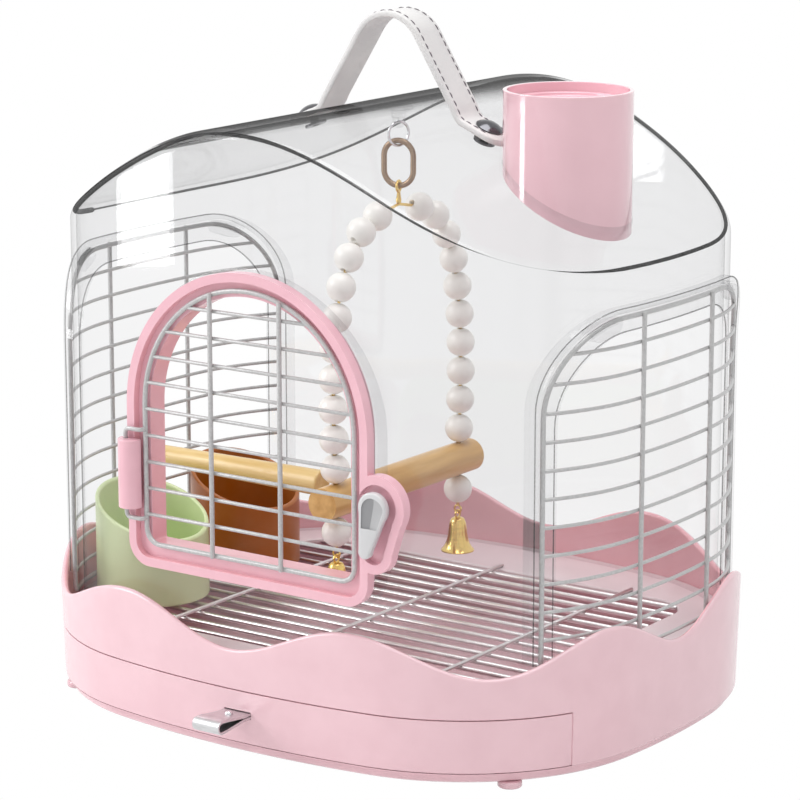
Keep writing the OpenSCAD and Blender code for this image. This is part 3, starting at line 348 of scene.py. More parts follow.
def material(name, base, rough, metallic=0.0, coat=0.0):
    """A new material and its principled shader."""
    mat = bpy.data.materials.new(name)
    mat.use_nodes = True
    b = mat.node_tree.nodes["Principled BSDF"]
    b.inputs["Base Color"].default_value = (*base, 1)
    b.inputs["Roughness"].default_value = rough
    b.inputs["Metallic"].default_value = metallic
    b.inputs["IOR"].default_value = 1.5
    b.inputs["Coat Weight"].default_value = coat
    b.inputs["Coat Roughness"].default_value = 0.05
    return mat, b


def node_of(owner, kind, **values):
    """A new node of a material or world, with its inputs or its own settings given by name."""
    n = owner.node_tree.nodes.new(kind)
    for k, v in values.items():
        if k in n.inputs:
            n.inputs[k].default_value = v
        else:
            setattr(n, k, v)
    return n


def wire_up(owner, a, b):
    owner.node_tree.links.new(a, b)


def grain(mat, bsdf, scale, strength, distance, stretch=(1, 1, 1)):
    """Fine surface unevenness from noise, whose texture is returned."""
    coord = node_of(mat, "ShaderNodeTexCoord")
    mapping = node_of(mat, "ShaderNodeMapping", Scale=stretch)
    tex = node_of(mat, "ShaderNodeTexNoise", Scale=scale, Detail=4.0)
    bump = node_of(mat, "ShaderNodeBump", Strength=strength, Distance=distance)
    wire_up(mat, coord.outputs["Object"], mapping.inputs["Vector"])
    wire_up(mat, mapping.outputs["Vector"], tex.inputs["Vector"])
    wire_up(mat, tex.outputs["Fac"], bump.inputs["Height"])
    wire_up(mat, bump.outputs["Normal"], bsdf.inputs["Normal"])
    return tex


def vary(mat, bsdf, tex, dark, light, low=0.35, high=0.65):
    """Colour that wanders between two tones with a texture."""
    ramp = node_of(mat, "ShaderNodeValToRGB")
    start, end = ramp.color_ramp.elements
    start.position, end.position = low, high
    start.color, end.color = (*dark, 1), (*light, 1)
    wire_up(mat, tex.outputs["Fac"], ramp.inputs["Fac"])
    wire_up(mat, ramp.outputs["Color"], bsdf.inputs["Base Color"])


def plastic(name, base, rough=0.22, tone=0.03, coat=0.25):
    """Moulded plastic whose colour wanders down by a tone."""
    mat, b = material(name, base, rough, coat=coat)
    tex = grain(mat, b, 60.0, 0.05, 0.0003)
    vary(mat, b, tex, tuple(max(c - tone, 0) for c in base), base)
    return mat


pink = plastic("pink_plastic", (0.87, 0.59, 0.64), 0.26, coat=0.45)
pink_frame = plastic("pink_frame", (0.87, 0.51, 0.58), 0.2)
# a deeper pink painted as shade on faces that look inwards, in the tray and in the door frame
pink_painted_shade = plastic("pink_painted_shade", (0.95, 0.51, 0.56), 0.24)
pink_tube = plastic("pink_frame", (0.88, 0.56, 0.62), 0.14, 0.02, 1.0)
ledge_mat = plastic("ledge_plastic", (0.74, 0.62, 0.645), 0.3)
knob_mat = plastic("knob_plastic", (0.64, 0.64, 0.65), 0.3, 0.02)
# greys painted as shade in the knob's V, the right half lighter than the left
knob_dip_shade = plastic("knob_dip_shade", (0.46, 0.46, 0.47), 0.35, 0.02)
knob_shade = plastic("knob_shade", (0.29, 0.29, 0.30), 0.35, 0.02)
green = plastic("green_plastic", (0.71, 0.82, 0.48), 0.35, 0.03, 0.1)
brown = plastic("brown_plastic", (0.41, 0.13, 0.025), 0.35, 0.03, 0.1)


def make_wire():
    """Grey paint on the grilles and the door."""
    mat, b = material("wire_paint", (0.50, 0.50, 0.50), 0.3, metallic=0.15, coat=0.2)
    tex = grain(mat, b, 900.0, 0.12, 0.00005)
    vary(mat, b, tex, (0.46, 0.46, 0.46), (0.54, 0.54, 0.54))
    return mat


def make_metal(name, base, rough):
    """Bare metal with fine scratches."""
    mat, b = material(name, base, rough, metallic=1.0)
    tex = grain(mat, b, 200.0, 0.08, 0.00005, stretch=(1, 1, 6))
    vary(mat, b, tex, tuple(c * 0.88 for c in base), base)
    return mat


def make_wood(name, dark, light, along):
    """Wood with its grain drawn out along x or y."""
    mat, b = material(name, light, 0.35, coat=0.3)
    stretch = {"x": (0.08, 1, 1), "y": (1, 0.08, 1)}[along]
    tex = grain(mat, b, 260.0, 0.25, 0.00012, stretch=stretch)
    vary(mat, b, tex, dark, light, 0.3, 0.7)
    return mat


def make_leather():
    """White leather with small cells pressed into it."""
    mat, b = material("strap_leather", (0.72, 0.71, 0.70), 0.45, coat=0.05)
    coord = node_of(mat, "ShaderNodeTexCoord")
    cells = node_of(mat, "ShaderNodeTexVoronoi", Scale=900.0)
    bump = node_of(mat, "ShaderNodeBump", Strength=0.18, Distance=0.0001)
    noise = node_of(mat, "ShaderNodeTexNoise", Scale=40.0, Detail=3.0)
    wire_up(mat, coord.outputs["Object"], cells.inputs["Vector"])
    wire_up(mat, coord.outputs["Object"], noise.inputs["Vector"])
    wire_up(mat, cells.outputs["Distance"], bump.inputs["Height"])
    wire_up(mat, bump.outputs["Normal"], b.inputs["Normal"])
    vary(mat, b, noise, (0.67, 0.66, 0.66), (0.74, 0.73, 0.72))
    return mat


def make_clear(name, stops, gloss_low=0.035, gloss_high=0.12):
    """Clear plastic: see-through face on, smoky where it is seen along its surface, with gloss.

    Each stop is a place from face on (0) to edge on (1) and the share of light let through.
    """
    mat = bpy.data.materials.new(name)
    mat.use_nodes = True
    mat.node_tree.nodes.clear()
    facing = node_of(mat, "ShaderNodeLayerWeight", Blend=0.5)
    ramp = node_of(mat, "ShaderNodeValToRGB")
    colours = ramp.color_ramp.elements
    colours[0].position, colours[1].position = stops[0][0], stops[-1][0]
    for place, _ in stops[1:-1]:
        colours.new(place)
    for element, (_, share) in zip(colours, stops):
        element.color = (share, share, share * 1.002, 1)
    see = node_of(mat, "ShaderNodeBsdfTransparent")
    gloss = node_of(mat, "ShaderNodeBsdfGlossy", Roughness=0.03)
    power = node_of(mat, "ShaderNodeMath", operation="POWER")
    power.inputs[1].default_value = 4.0
    scale = node_of(mat, "ShaderNodeMath", operation="MULTIPLY_ADD")
    scale.inputs[1].default_value, scale.inputs[2].default_value = gloss_high, gloss_low
    mix = node_of(mat, "ShaderNodeMixShader")
    out = node_of(mat, "ShaderNodeOutputMaterial")
    wire_up(mat, facing.outputs["Facing"], ramp.inputs["Fac"])
    wire_up(mat, ramp.outputs["Color"], see.inputs["Color"])
    wire_up(mat, facing.outputs["Facing"], power.inputs[0])
    wire_up(mat, power.outputs[0], scale.inputs[0])
    wire_up(mat, scale.outputs[0], mix.inputs["Fac"])
    wire_up(mat, see.outputs["BSDF"], mix.inputs[1])
    wire_up(mat, gloss.outputs["BSDF"], mix.inputs[2])
    wire_up(mat, mix.outputs["Shader"], out.inputs["Surface"])
    return mat


wire_mat = make_wire()
rod_mat = make_metal("grate_steel", (0.78, 0.74, 0.74), 0.3)
steel = make_metal("steel", (0.72, 0.72, 0.73), 0.3)
dark_metal = make_metal("dark_metal", (0.12, 0.12, 0.13), 0.18)
chrome = make_metal("chrome", (0.80, 0.80, 0.82), 0.12)
bronze = make_metal("bronze", (0.36, 0.25, 0.17), 0.32)
brass = make_metal("brass", (0.83, 0.58, 0.20), 0.2)
wood_swing = make_wood("swing_wood", (0.62, 0.34, 0.10), (0.80, 0.50, 0.18), "y")
wood_side = make_wood("side_wood", (0.70, 0.46, 0.16), (0.86, 0.64, 0.30), "x")
leather = make_leather()
clear = make_clear("clear_plastic", [(0.0, 0.965), (0.75, 0.955), (0.93, 0.86), (1.0, 0.55)])
clear_collar = make_clear("clear_collar", [(0.0, 0.97), (1.0, 0.9)])
# a smokier clear that paints the dark refraction band along the ridge
clear_ridge_shade = make_clear("clear_ridge_shade", [(0.0, 0.965), (0.77, 0.95), (0.84, 0.62), (0.88, 0.28),
                                         (0.93, 0.12), (1.0, 0.06)])
# darker clear for the rib lines, painted refraction
clear_line_shade = make_clear("clear_line_shade", [(0.0, 0.66), (0.6, 0.6), (1.0, 0.35)], 0.05, 0.2)
# near-black clear for the tube that paints dark refraction in the roof's edge
clear_edge_shade = make_clear("clear_edge_shade", [(0.0, 0.30), (0.6, 0.20), (1.0, 0.10)], 0.02, 0.06)
thread = plastic("thread", (0.16, 0.14, 0.16), 0.7, 0.02, 0.0)
bead_mat = plastic("bead_white", (0.98, 0.96, 0.92), 0.3, 0.04, 0.15)


# Tray

def tray():
    """Wall with the drawer's window, floor with its plinth edge, ledge ring and runners."""
    fine, wall_t, lip = 3.0, 3.0, 1.35
    window_low, window_top, window_half = 7.5, 31.1, 138.6
    outer, inner = plan_points(0, fine), plan_points(wall_t, fine)
    n = len(outer)

    def gate(i):
        """True where the drawer's window lies between this column and the next."""
        a, b = outer[i], outer[(i + 1) % n]
        return a[1] < 0 and b[1] < 0 and abs(a[0]) < window_half and abs(b[0]) < window_half

    def level(points, k):
        """Row k of 5 on one side of the wall, from the window's foot to just under the lip."""
        row = []
        for (x, y), (xo, yo) in zip(points, outer):
            rise = rim_z(xo, yo) - lip - window_top
            row.append((x, y, window_top + rise * (k - 1) / 3 if k else window_low))
        return row

    rows = [level(outer, k) for k in range(5)]
    for t in range(1, 8):
        a = math.pi * t / 8
        w = (1 - math.cos(a)) / 2
        rows.append([(xo + (xi - xo) * w, yo + (yi - yo) * w,
                      rim_z(xo, yo) - lip + lip * math.sin(a))
                     for (xo, yo), (xi, yi) in zip(outer, inner)])
    rows += [level(inner, k) for k in range(4, -1, -1)]
    s = Shape()
    s.v = [draft(p) for row in rows for p in row]
    m = len(rows)
    for j in range(m):
        for i in range(n):
            if gate(i) and j in (0, m - 2, m - 1):
                continue
            k = (j + 1) % m
            s.f.append((j * n + i, j * n + (i + 1) % n, k * n + (i + 1) % n, k * n + i))
    # the window's head and its two ends
    for i in range(n):
        if gate(i):
            j = (i + 1) % n
            s.f.append((n + i, n + j, (m - 2) * n + j, (m - 2) * n + i))
            for end, beyond in ((i, i - 1), (j, j)):
                if not gate(beyond % n):
                    s.f.append((end, n + end, (m - 2) * n + end, (m - 1) * n + end))
    wall = s.piece("tray_wall", pink, "tray_unit", ("tray",), sharp=50)
    # the wall's inner faces above the window are painted a deeper pink as shade
    paint(wall, pink_painted_shade, lambda c, n: c.z > window_top - 0.1 and c.x * n.x + c.y * n.y < 0)
    bevel(wall, 0.45, 2, 60)

    # (inset, height) of the floor with its stepped plinth edge
    plinth = [(60, 3.0), (3.6, 3.0), (2.9, 3.6), (2.7, 6.6), (1.9, 7.0), (0.3, 7.2), (0.3, 7.5),
              (60, 7.5)]
    s = Shape()
    s.loft([[draft((x, y, z)) for x, y in plan_points(d, 2.0)] for d, z in plinth])
    s.piece("tray_floor", pink, "tray_unit", sharp=40)
    # the ring that carries the ledge, and the drawer's two runners
    ring = [(3, 32), (5.5, 32), (5.8, 32.3), (5.8, 33.2), (5.5, 33.5), (3, 33.5)]
    runner_x, runner_half, runner_y, runner_low, runner_top = 132.2, 0.75, 43, 7.4, 30.7
    s = Shape()
    s.grid([[draft((x, y, z)) for x, y in plan_points(d, 2.0)] for d, z in ring],
           wrap_u=True, wrap_v=True)
    for side in (-1, 1):
        s.loft([[(side * runner_x + a * runner_half, b * runner_y, z)
                 for a, b in ((-1, -1), (1, -1), (1, 1), (-1, 1))]
                for z in (runner_low, runner_top)])
    bevel(s.piece("tray_runners", pink, "tray_unit", sharp=40), 0.4, 2)


tray()
dressed("foot_pads", "tray_unit", pink, 0.8)
dressed("ledge", "tray_unit", ledge_mat, 0.7, move=draft)


def grate():
    """Rods along X that end on a rounded outline, under three cross bars."""
    rod_r, rod_z, pitch, half_x, half_y, corner = 1.15, 34.85, 11.0, 107.0, 82.0, 17.0
    bar_r, bar_z, bar_half, bar_gap = 0.9, 36.9, 85.6, 72.0
    s = Shape()
    for i in range(-7, 8):
        y = pitch * i
        deep = abs(y) - half_y + corner
        half = half_x - rod_r - (corner - math.sqrt(corner ** 2 - deep ** 2) if deep > 0 else 0)
        s.tube([(x, y, rod_z) for x in (-half, 0, half)], rod_r)
    for i in (-1, 0, 1):
        s.tube([(bar_gap * i, side * bar_half, bar_z) for side in (-1, 1)], bar_r)
    s.piece("grate_wires", rod_mat, "tray_unit", ("grate", "grate_bars"))


grate()

# Drawer

dressed("drawer", "drawer_unit", pink, 0.6, move=draft)


def pull_tab():
    """Folded strap: its middle line in Y and Z from above the fold to below it."""
    half, half_t, fold_y, fold_r = 7.0, 0.6, -144.7, 2.4
    upper = [(-124.2, 0.65), (-130, 0.75), (-136, 1.5), (-141, 2.15)]
    mid = [(y, TAB_Z + h) for y, h in upper]
    mid += arc(fold_y, TAB_Z, fold_r, 90, 270, 8)
    mid += [(y, TAB_Z - h) for y, h in reversed(upper)]
    rows = []
    for i, (y, z) in enumerate(mid):
        a, b = mid[max(i - 1, 0)], mid[min(i + 1, len(mid) - 1)]
        d = Vector((b[0] - a[0], b[1] - a[1])).normalized()
        rows.append([(TAB_X + side * half, y - up * half_t * d.y, z + up * half_t * d.x)
                     for side, up in ((-1, 1), (1, 1), (1, -1), (-1, -1))])
    s = Shape()
    s.loft(rows)
    bevel(s.piece("pull_tab_strap", steel, "drawer_unit", ("pull_tab",), sharp=40), 0.25, 2, 50)


pull_tab()


def rivet():
    """The rivet through the pull tab, with its heads and its shank."""
    s = Shape()
    s.lathe([(0.0, 2.9), (0.9, 2.8), (1.5, 2.4), (1.8, 1.9), (1.8, 1.5), (0.95, 1.4), (0.95, -1.4),
             (1.8, -1.5), (1.8, -2.4), (0.0, -2.6)], 32, at=(TAB_X, -131.5, TAB_Z + 0.1))
    s.piece("tab_rivet_head", chrome, "drawer_unit", ("tab_rivet",))


rivet()

# Clear cover

COVER_NODES = ("roof", "front_wall", "back_wall", "left_wall", "right_wall")


def shell_rows(inset, drop, r):
    """Rows of a wall that rounds over into the gabled roof, then the roof's edge row."""
    fine = 3.0
    base = plan_points(inset, fine)

    def top(x):
        return roof_z(x) - drop

    # the last shares lie close together, so that the wall's shading stays flat up to the edge
    rows = [[(x, y, COVER_LOW + (top(x) - r - COVER_LOW) * share) for x, y in base]
            for share in (0.0, 0.25, 0.5, 0.75, 0.97, 0.994, 1.0)]
    for k in range(1, 9):
        a = math.pi / 2 * k / 8
        pts = plan_points(inset + r * (1 - math.cos(a)), fine)
        rows.append([(x, y, top(x) - r + r * math.sin(a)) for x, y in pts])
    return rows


def roof_faces(rows, n):
    """Strips of the roof between the front and the back half of the last row."""
    last = (len(rows) - 1) * n
    faces = []
    # points 0 to n / 2 run over +Y and the rest over -Y, so point i lies opposite n - i
    for a in range(n // 4 * 2):
        b = a + 1
        ids = []
        for k in (a, b, (n - b) % n, (n - a) % n):
            if last + k not in ids:
                ids.append(last + k)
        if len(ids) >= 3:
            faces.append(tuple(ids))
    return faces


def cutter(s):
    """An object that is only there to be cut out of another."""
    mesh = bpy.data.meshes.new("cutter")
    mesh.from_pydata([(x * MM, y * MM, z * MM) for x, y, z in s.v], [], s.f)
    bm = bmesh.new()
    bm.from_mesh(mesh)
    bmesh.ops.remove_doubles(bm, verts=bm.verts, dist=WELD)
    bmesh.ops.recalc_face_normals(bm, faces=bm.faces)
    bm.to_mesh(mesh)
    bm.free()
    ob = bpy.data.objects.new("cutter", mesh)
    bpy.context.scene.collection.objects.link(ob)
    return ob


def cut(ob, tools):
    """Cuts each tool out of ob and removes the tools."""
    for tool in tools:
        mod = ob.modifiers.new("cut", "BOOLEAN")
        mod.operation, mod.object, mod.solver = "DIFFERENCE", tool, "EXACT"
    deps = bpy.context.evaluated_depsgraph_get()
    mesh = bpy.data.meshes.new_from_object(ob.evaluated_get(deps))
    ob.modifiers.clear()
    ob.data = mesh
    shade(mesh, 40)
    for tool in tools:
        bpy.data.objects.remove(tool)


def prism(outline, start, end, axis):
    """A closed prism from an outline of (a, b) in mm along x or y."""
    s = Shape()
    s.loft([[(d, a, b) if axis == "x" else (a, d, b) for a, b in outline] for d in (start, end)])
    return s


def hole_outline():
    """The hole behind a grille, in Y and Z."""
    pts = [(HOLE_HALF, HOLE_LOW)]
    pts += arc(HOLE_HALF - HOLE_R, HOLE_TOP - HOLE_R, HOLE_R, 0, 90, 16)
    return pts + [(-a, b) for a, b in reversed(pts)]


def door_outline(inset):
    """The door frame's outline moved inwards, in X and Z."""
    w, r, low = DOOR_HALF - inset, max(DOOR_CORNER - inset, 1.0), DOOR_LOW + inset
    return (arc(DOOR_X + w - r, low + r, r, -90, 0, 8) + arc(DOOR_X, DOOR_MID, w, 0, 180, 40)
            + arc(DOOR_X - w + r, low + r, r, 180, 270, 8))


def cover():
    """One clear shell with the door opening, the grilles' holes and the feeder's bore."""
    outside = shell_rows(COVER_INSET, 0.0, FILLET)
    inside = shell_rows(COVER_INSET + COVER_WALL, COVER_WALL, FILLET - COVER_WALL)
    n = len(outside[0])
    s = Shape()
    s.grid(outside, wrap_u=True)
    s.f += roof_faces(outside, n)
    base = len(s.v)
    inner = Shape()
    inner.grid(inside, wrap_u=True)
    inner.f += roof_faces(inside, n)
    s.add(inner.v, inner.f)
    for i in range(n):
        s.f.append((i, (i + 1) % n, base + (i + 1) % n, base + i))
    ob = s.piece("cover_shell", clear, "cover_unit", COVER_NODES, sharp=50)
    bore = Shape()
    bore.lathe([(28.05, 200), (28.05, 300)], 96, at=(86.3, 3.2, 0))
    cut(ob, [cutter(prism(door_outline(5.2), -140, -100, "y")),
             cutter(prism(hole_outline(), 100, 160, "x")),
             cutter(prism(hole_outline(), -160, -100, "x")),
             cutter(bore)])
    # the ridge darkens towards the horizon, as in the photo
    # the ridge's faces are painted with the smokier clear, as dark refraction
    paint(ob, clear_ridge_shade, lambda c, n: c.z > 200 and abs(n.z) > 0.6 and abs(c.x) < 47)


cover()


def edge_line():
    """A dark tube in the rounded edge of the roof that paints its refraction shade, thickest at
    the front's left and at the back.
    """
    depth, thinnest = 2.3, 0.04

    def fade(v, start, end):
        """0 up to the start, 1 from the end on."""
        return min(max((v - start) / (end - start), 0), 1)

    base = plan_points(COVER_INSET + depth, 3.0)
    radii = []
    for x, y in base:
        if y < -50 and x < 125:
            r = (1.2 - 0.7 * fade(x, -50, 80)) * fade(-x, -112, -87)
        elif x > 0:
            r = 0.85 * fade(y, -75, -35)
        else:
            r = 0.6 if y > 0 else 0.4
        radii.append(max(r, thinnest))
    s = Shape()
    s.tube([(x, y, roof_z(x) - depth) for x, y in base], radii, 10, closed=True)
    s.piece("roof_edge_line", clear_edge_shade, "cover_unit", sharp=60)


edge_line()


def collar():
    """Clear band between the door frame and the bowed front wall."""
    front, rim, sunk = -118.75, -118.3, 0.4
    rows = []
    for (xo, zo), (xi, zi) in zip(door_outline(-1.5), door_outline(4.9)):
        rows.append([(xi, front, zi), (xo + (xi - xo) * 0.1, front, zo + (zi - zo) * 0.1),
                     (xo, rim, zo), (xo, sunk - wall_y(xo, COVER_INSET), zo),
                     (xi, sunk - wall_y(xi, COVER_INSET), zi)])
    s = Shape()
    s.grid(rows, wrap_u=True, wrap_v=True)
    s.piece("frame_collar", clear_collar, "cover_unit", sharp=50)


collar()


def wrapped(y, z, inset, side):
    """A point of a side wall, right (1) or left (-1)."""
    return (side * plan_x(y, inset), y, z)


def ribs():
    """The clear band round each grille, with dark lines of painted refraction along it and along
    the edge of the hole.
    """
    line_r, line_in, line_inset, edge_inset = 0.28, 0.35, 4.3, 9.2
    # (distance inwards from the outline, inset) of the band's section
    shape = [(0.0, 8.2), (0.0, 4.4), (0.5, 3.6), (1.2, 3.4), (2.0, 3.6), (2.4, 4.4), (2.4, 8.2)]
    path = mirrored(half_arch(82.0, 198.7, 39.7, RIB_LOW, 19, 16, 5))
    hole = mirrored(half_arch(HOLE_HALF, HOLE_TOP, HOLE_R, RIB_LOW, 1, 16, 4))
    for side, label in ((1, "right"), (-1, "left")):
        rows, line = [], []
        for i, (y, z) in enumerate(path):
            a, b = path[max(i - 1, 0)], path[min(i + 1, len(path) - 1)]
            d = Vector((b[0] - a[0], b[1] - a[1])).normalized()
            line.append(wrapped(y - d.y * line_in, z + d.x * line_in, line_inset, side))
            rows.append([wrapped(y - d.y * u, z + d.x * u, inset, side) for u, inset in shape])
        s = Shape()
        s.loft(rows)
        s.piece(label + "_rib", clear, "cover_unit", sharp=60)
        s = Shape()
        s.tube(line, line_r, 8)
        s.tube([wrapped(a, b, edge_inset, side) for a, b in hole], line_r, 8)
        s.piece(label + "_rib_lines", clear_line_shade, "cover_unit", sharp=60)


ribs()
dressed("grille_clips", "cover_unit", clear, 0.5, 2)

# Door

# the frame's faces that look into its opening get a deeper pink, painted shade
paint(dressed("door_frame", "cover_unit", pink_frame, 0.7, 3, 30), pink_painted_shade,
      lambda c, n: abs(n.y) < 0.5 and (c.x - DOOR_X) * n.x + (c.z - 130) * n.z < 0 and c.x < 68)
dressed("hinge_barrel", "cover_unit", pink_frame, 0.6)


def wire_door():
    """Outline wire, two uprights outside it, level wires and the two bent hinge legs."""
    cx, w, low, mid, y, corner = 9.1, 55.3, 87.0, 147.8, -122.0, 7.0
    upright_x, first, pitch = 18.2, 100.0, 11.6
    s = Shape()
    loop = arc(cx, mid, w, 0, 180, 48)
    loop += arc(cx - w + corner, low + corner, corner, 180, 270, 8)
    loop += arc(cx + w - corner, low + corner, corner, 270, 360, 8)
    s.tube([(a, y, b) for a, b in loop], LOOP_WIRE_R, 16, closed=True)
    for side in (-1, 1):
        x = cx + side * upright_x
        top = mid + math.sqrt(w * w - upright_x ** 2)
        s.tube([(x, y - UPRIGHT_OUT, z) for z in (low - 0.4, top + 0.4)], UPRIGHT_R, 16)
    for i in range(9):
        z = first + pitch * i
        half = w if z < mid else math.sqrt(w * w - (z - mid) ** 2)
        s.tube([(x, y, z) for x in (cx - half, cx, cx + half)], LEVEL_WIRE_R)
    # each leg turns forwards and left out of the outline, then up or down into the barrel
    leg_x, leg_y, bend, hook = -46.2, -125.3, 1.5, 2.0
    for z, end, way in ((98.2, 107.2, -1), (137.4, 128.4, 1)):
        path = [(leg_x, y + 0.3, z)]
        path += [(a, b, z) for a, b in arc(leg_x - bend, leg_y + bend, bend, 0, -90, 3)]
        path += [(-51.5, leg_y, z)]
        path += [(a, leg_y, z - way * b) for a, b in arc(-52.5, hook, hook, -90, -180, 3)]
        path += [(-54.5, leg_y, end)]
        s.tube(path, 1.0, 14)
    s.piece("door_wires", wire_mat, "door_unit", ("wire_door",))


wire_door()


def latch():
    """The knob with the shallow V for the thumb in its upper half, painted in two greys of shade,
    and its pin.
    """
    head_r, lean, steps = 7, math.radians(10), 24
    dip_top, dip_length, dip_half, dip_edge, dip_slope = 4.7, 13.3, 4.9, 0.3, 0.22
    knob = dressed("latch_knob", "latch_unit", knob_mat, 0.9, 3, 30)
    xs, ys, zs = zip(*(tuple(v.co / MM) for v in knob.data.vertices))
    x, z, front = max(xs) - head_r, max(zs) - head_r, min(ys)
    c, d = math.cos(lean), math.sin(lean)
    rows = []
    for k in range(steps + 1):
        b = dip_top - dip_length * (k / steps) ** 1.5
        w = dip_half * math.sqrt(1 - (b / 4.75) ** 2) if b > 0 else dip_half + 0.15 * b
        right = w * (1.18 - 0.06 * k / steps)
        row = []
        for a, y in ((-w, front - 1), (right, front - 1), (right, front + dip_edge),
                     (0, front + dip_edge + dip_slope * w), (-w, front + dip_edge)):
            up = b + 0.18 * a * k / steps
            row.append((x + a * c + up * d, y, z - a * d + up * c))
        rows.append(row)
    s = Shape()
    s.loft(rows)
    cut(knob, [cutter(s)])

    def dip(p, side):
        """True for a point inside the V, in its right (1) or left (-1) half."""
        a, b = (p.x - x) * c - (p.z - z) * d, (p.x - x) * d + (p.z - z) * c
        return (p.y > front + 0.05 and a * side > 0 and b > -10
                and math.hypot(a, max(b, 0)) < 6 + 0.2 * min(b, 0))

    # the V's faces are painted darker grey as shade, its left half darker than its right
    paint(knob, knob_dip_shade, lambda p, n: n.y < 0.3 and dip(p, 1))
    paint(knob, knob_shade, lambda p, n: n.y < 0.3 and dip(p, -1))
    dressed("latch_pin", "cover_unit", steel, 0.2, 2)


latch()

# Grilles


def grille(side, label):
    """Outline wire, level wires and two uprights outside them, all along the bowed wall."""
    inset, half, top, r, low, corner = 6.0, 77.3, 194.0, 38.0, 41.0, 4.4
    first, pitch, upright_y = 50.2, 12.0, 28.0
    foot, level = half - corner, low + corner
    loop = mirrored(half_arch(half, top, r, level, 10, 14, 6))
    loop += arc(-foot, level, corner, 180, 270, 3)[1:]
    loop += [(-foot + 2 * foot * k / 16, low) for k in range(1, 16)]
    loop += arc(foot, level, corner, 270, 360, 3)[:-1]
    s = Shape()
    s.tube([wrapped(a, b, inset, side) for a, b in loop], LOOP_WIRE_R, 14, closed=True)
    for i in range(12):
        z = first + pitch * i
        up = z - top + r
        h = half if up < 0 else half - r + math.sqrt(r * r - up * up)
        s.tube([wrapped(h * (2 * k / 24 - 1), z, inset, side) for k in range(25)], LEVEL_WIRE_R)
    for y in (-upright_y, upright_y):
        s.tube([wrapped(y, z, inset - UPRIGHT_OUT, side) for z in (low - 0.5, 120, top + 0.5)],
               UPRIGHT_R, 14)
    s.piece(label + "_grille_wires", wire_mat, "cover_unit", (label + "_grille",))


grille(1, "right")
grille(-1, "left")

# Feeder

dressed("feeder_tube", "cover_unit", pink_tube, 0.9, 4, 40)
dressed("feeder_lid", "lid_unit", pink_frame, 0.7, 3, 40)

# Handle


def strap_path():
    """Middle line of the strap's right half, from the top to its end, as (x, z)."""
    t, top, bend, foot_x, end_x, flat_x, lift = 2.8, 309.0, 18.0, 37.0, 58.0, 39.2, 0.05
    cz = top - t / 2 - bend
    foot = Vector((foot_x, roof_z(foot_x) + t))
    away = foot - Vector((0, cz))
    tangent = math.atan2(away.y, away.x) + math.acos(bend / away.length)
    pts = [Vector(p) for p in arc(0, cz, bend, 90, math.degrees(tangent), 16)]
    touch = pts[-1]
    ends = []
    for k in range(9):
        x = flat_x + (end_x - flat_x) * k / 8
        ends.append(Vector((x, roof_z(x) + t / 2 + lift)))
    leg = (foot - touch).normalized()
    for k in range(1, 15):
        pts.append(touch + (foot - leg * 4.5 - touch) * k / 14)
    # a soft bend from the leg into the foot that lies on the roof
    a, b, c = pts[-1], foot + Vector((-0.3, -1.2)), ends[0]
    for k in range(1, 8):
        u = k / 8
        pts.append(a * (1 - u) ** 2 + b * 2 * u * (1 - u) + c * u * u)
    return pts + ends


def strap():
    """The strap with round ends and soft edges, and the stitches on its outer face."""
    half_w, half_t, edge = 9.0, 1.4, 0.7
    right = strap_path()
    path = [Vector((-p.x, p.y)) for p in reversed(right)] + right[1:]
    n = len(path)
    length = [0.0]
    for i in range(1, n):
        length.append(length[-1] + (path[i] - path[i - 1]).length)
    total = length[-1]

    def width(s):
        """Half width, with round ends."""
        near = min(s, total - s)
        return half_w if near > half_w else math.sqrt(max(half_w ** 2 - (half_w - near) ** 2, 0))

    def at(s):
        """Point and outward direction at a length along the strap."""
        i = max(k for k in range(n - 1) if length[k] <= s + 1e-9)
        u = (s - length[i]) / (length[i + 1] - length[i])
        d = (path[min(i + 2, n - 1)] - path[max(i - 1, 0)]).normalized()
        return path[i].lerp(path[i + 1], u), Vector((-d.y, d.x))

    end_steps = [0.02, 0.3, 0.9, 1.8, 3, 4.5, 6.5, half_w]
    steps = end_steps + [half_w + (total - 2 * half_w) * k / 150 for k in range(1, 150)]
    steps += [total - v for v in reversed(end_steps)]
    rows = []
    for step in steps:
        p, out = at(step)
        w = width(step)
        row = []
        e = min(edge, w * 0.5)
        for side, up in ((-1, 1), (1, 1), (1, -1), (-1, -1)):
            corner = [(w - e, half_t), (w - e * 0.4, half_t - 0.12), (w, half_t - 0.6)]
            if (side > 0) != (up > 0):
                corner.reverse()
            for yy, hh in corner:
                row.append((p.x + out.x * up * hh, side * yy, p.y + out.y * up * hh))
        rows.append(row)
    s = Shape()
    s.loft(rows)
    s.piece("strap", leather, "cover_unit", ("handle_strap",), sharp=50)

    seam_y, stitch, pitch, margin = 6.9, 2.6, 4.0, 8.5
    s = Shape()
    start = 6.0
    while start < total - margin:
        for side in (-1, 1):
            pts = []
            for u in (0, 0.33, 0.67, 1):
                p, out = at(start + stitch * u)
                lift = half_t + 0.14 - 0.3 * (abs(u - 0.5) * 2) ** 4
                pts.append((p.x + out.x * lift, side * seam_y, p.y + out.y * lift))
            s.tube(pts, 0.3, 6)
        start += pitch
    s.piece("strap_stitches", thread, "cover_unit")


strap()


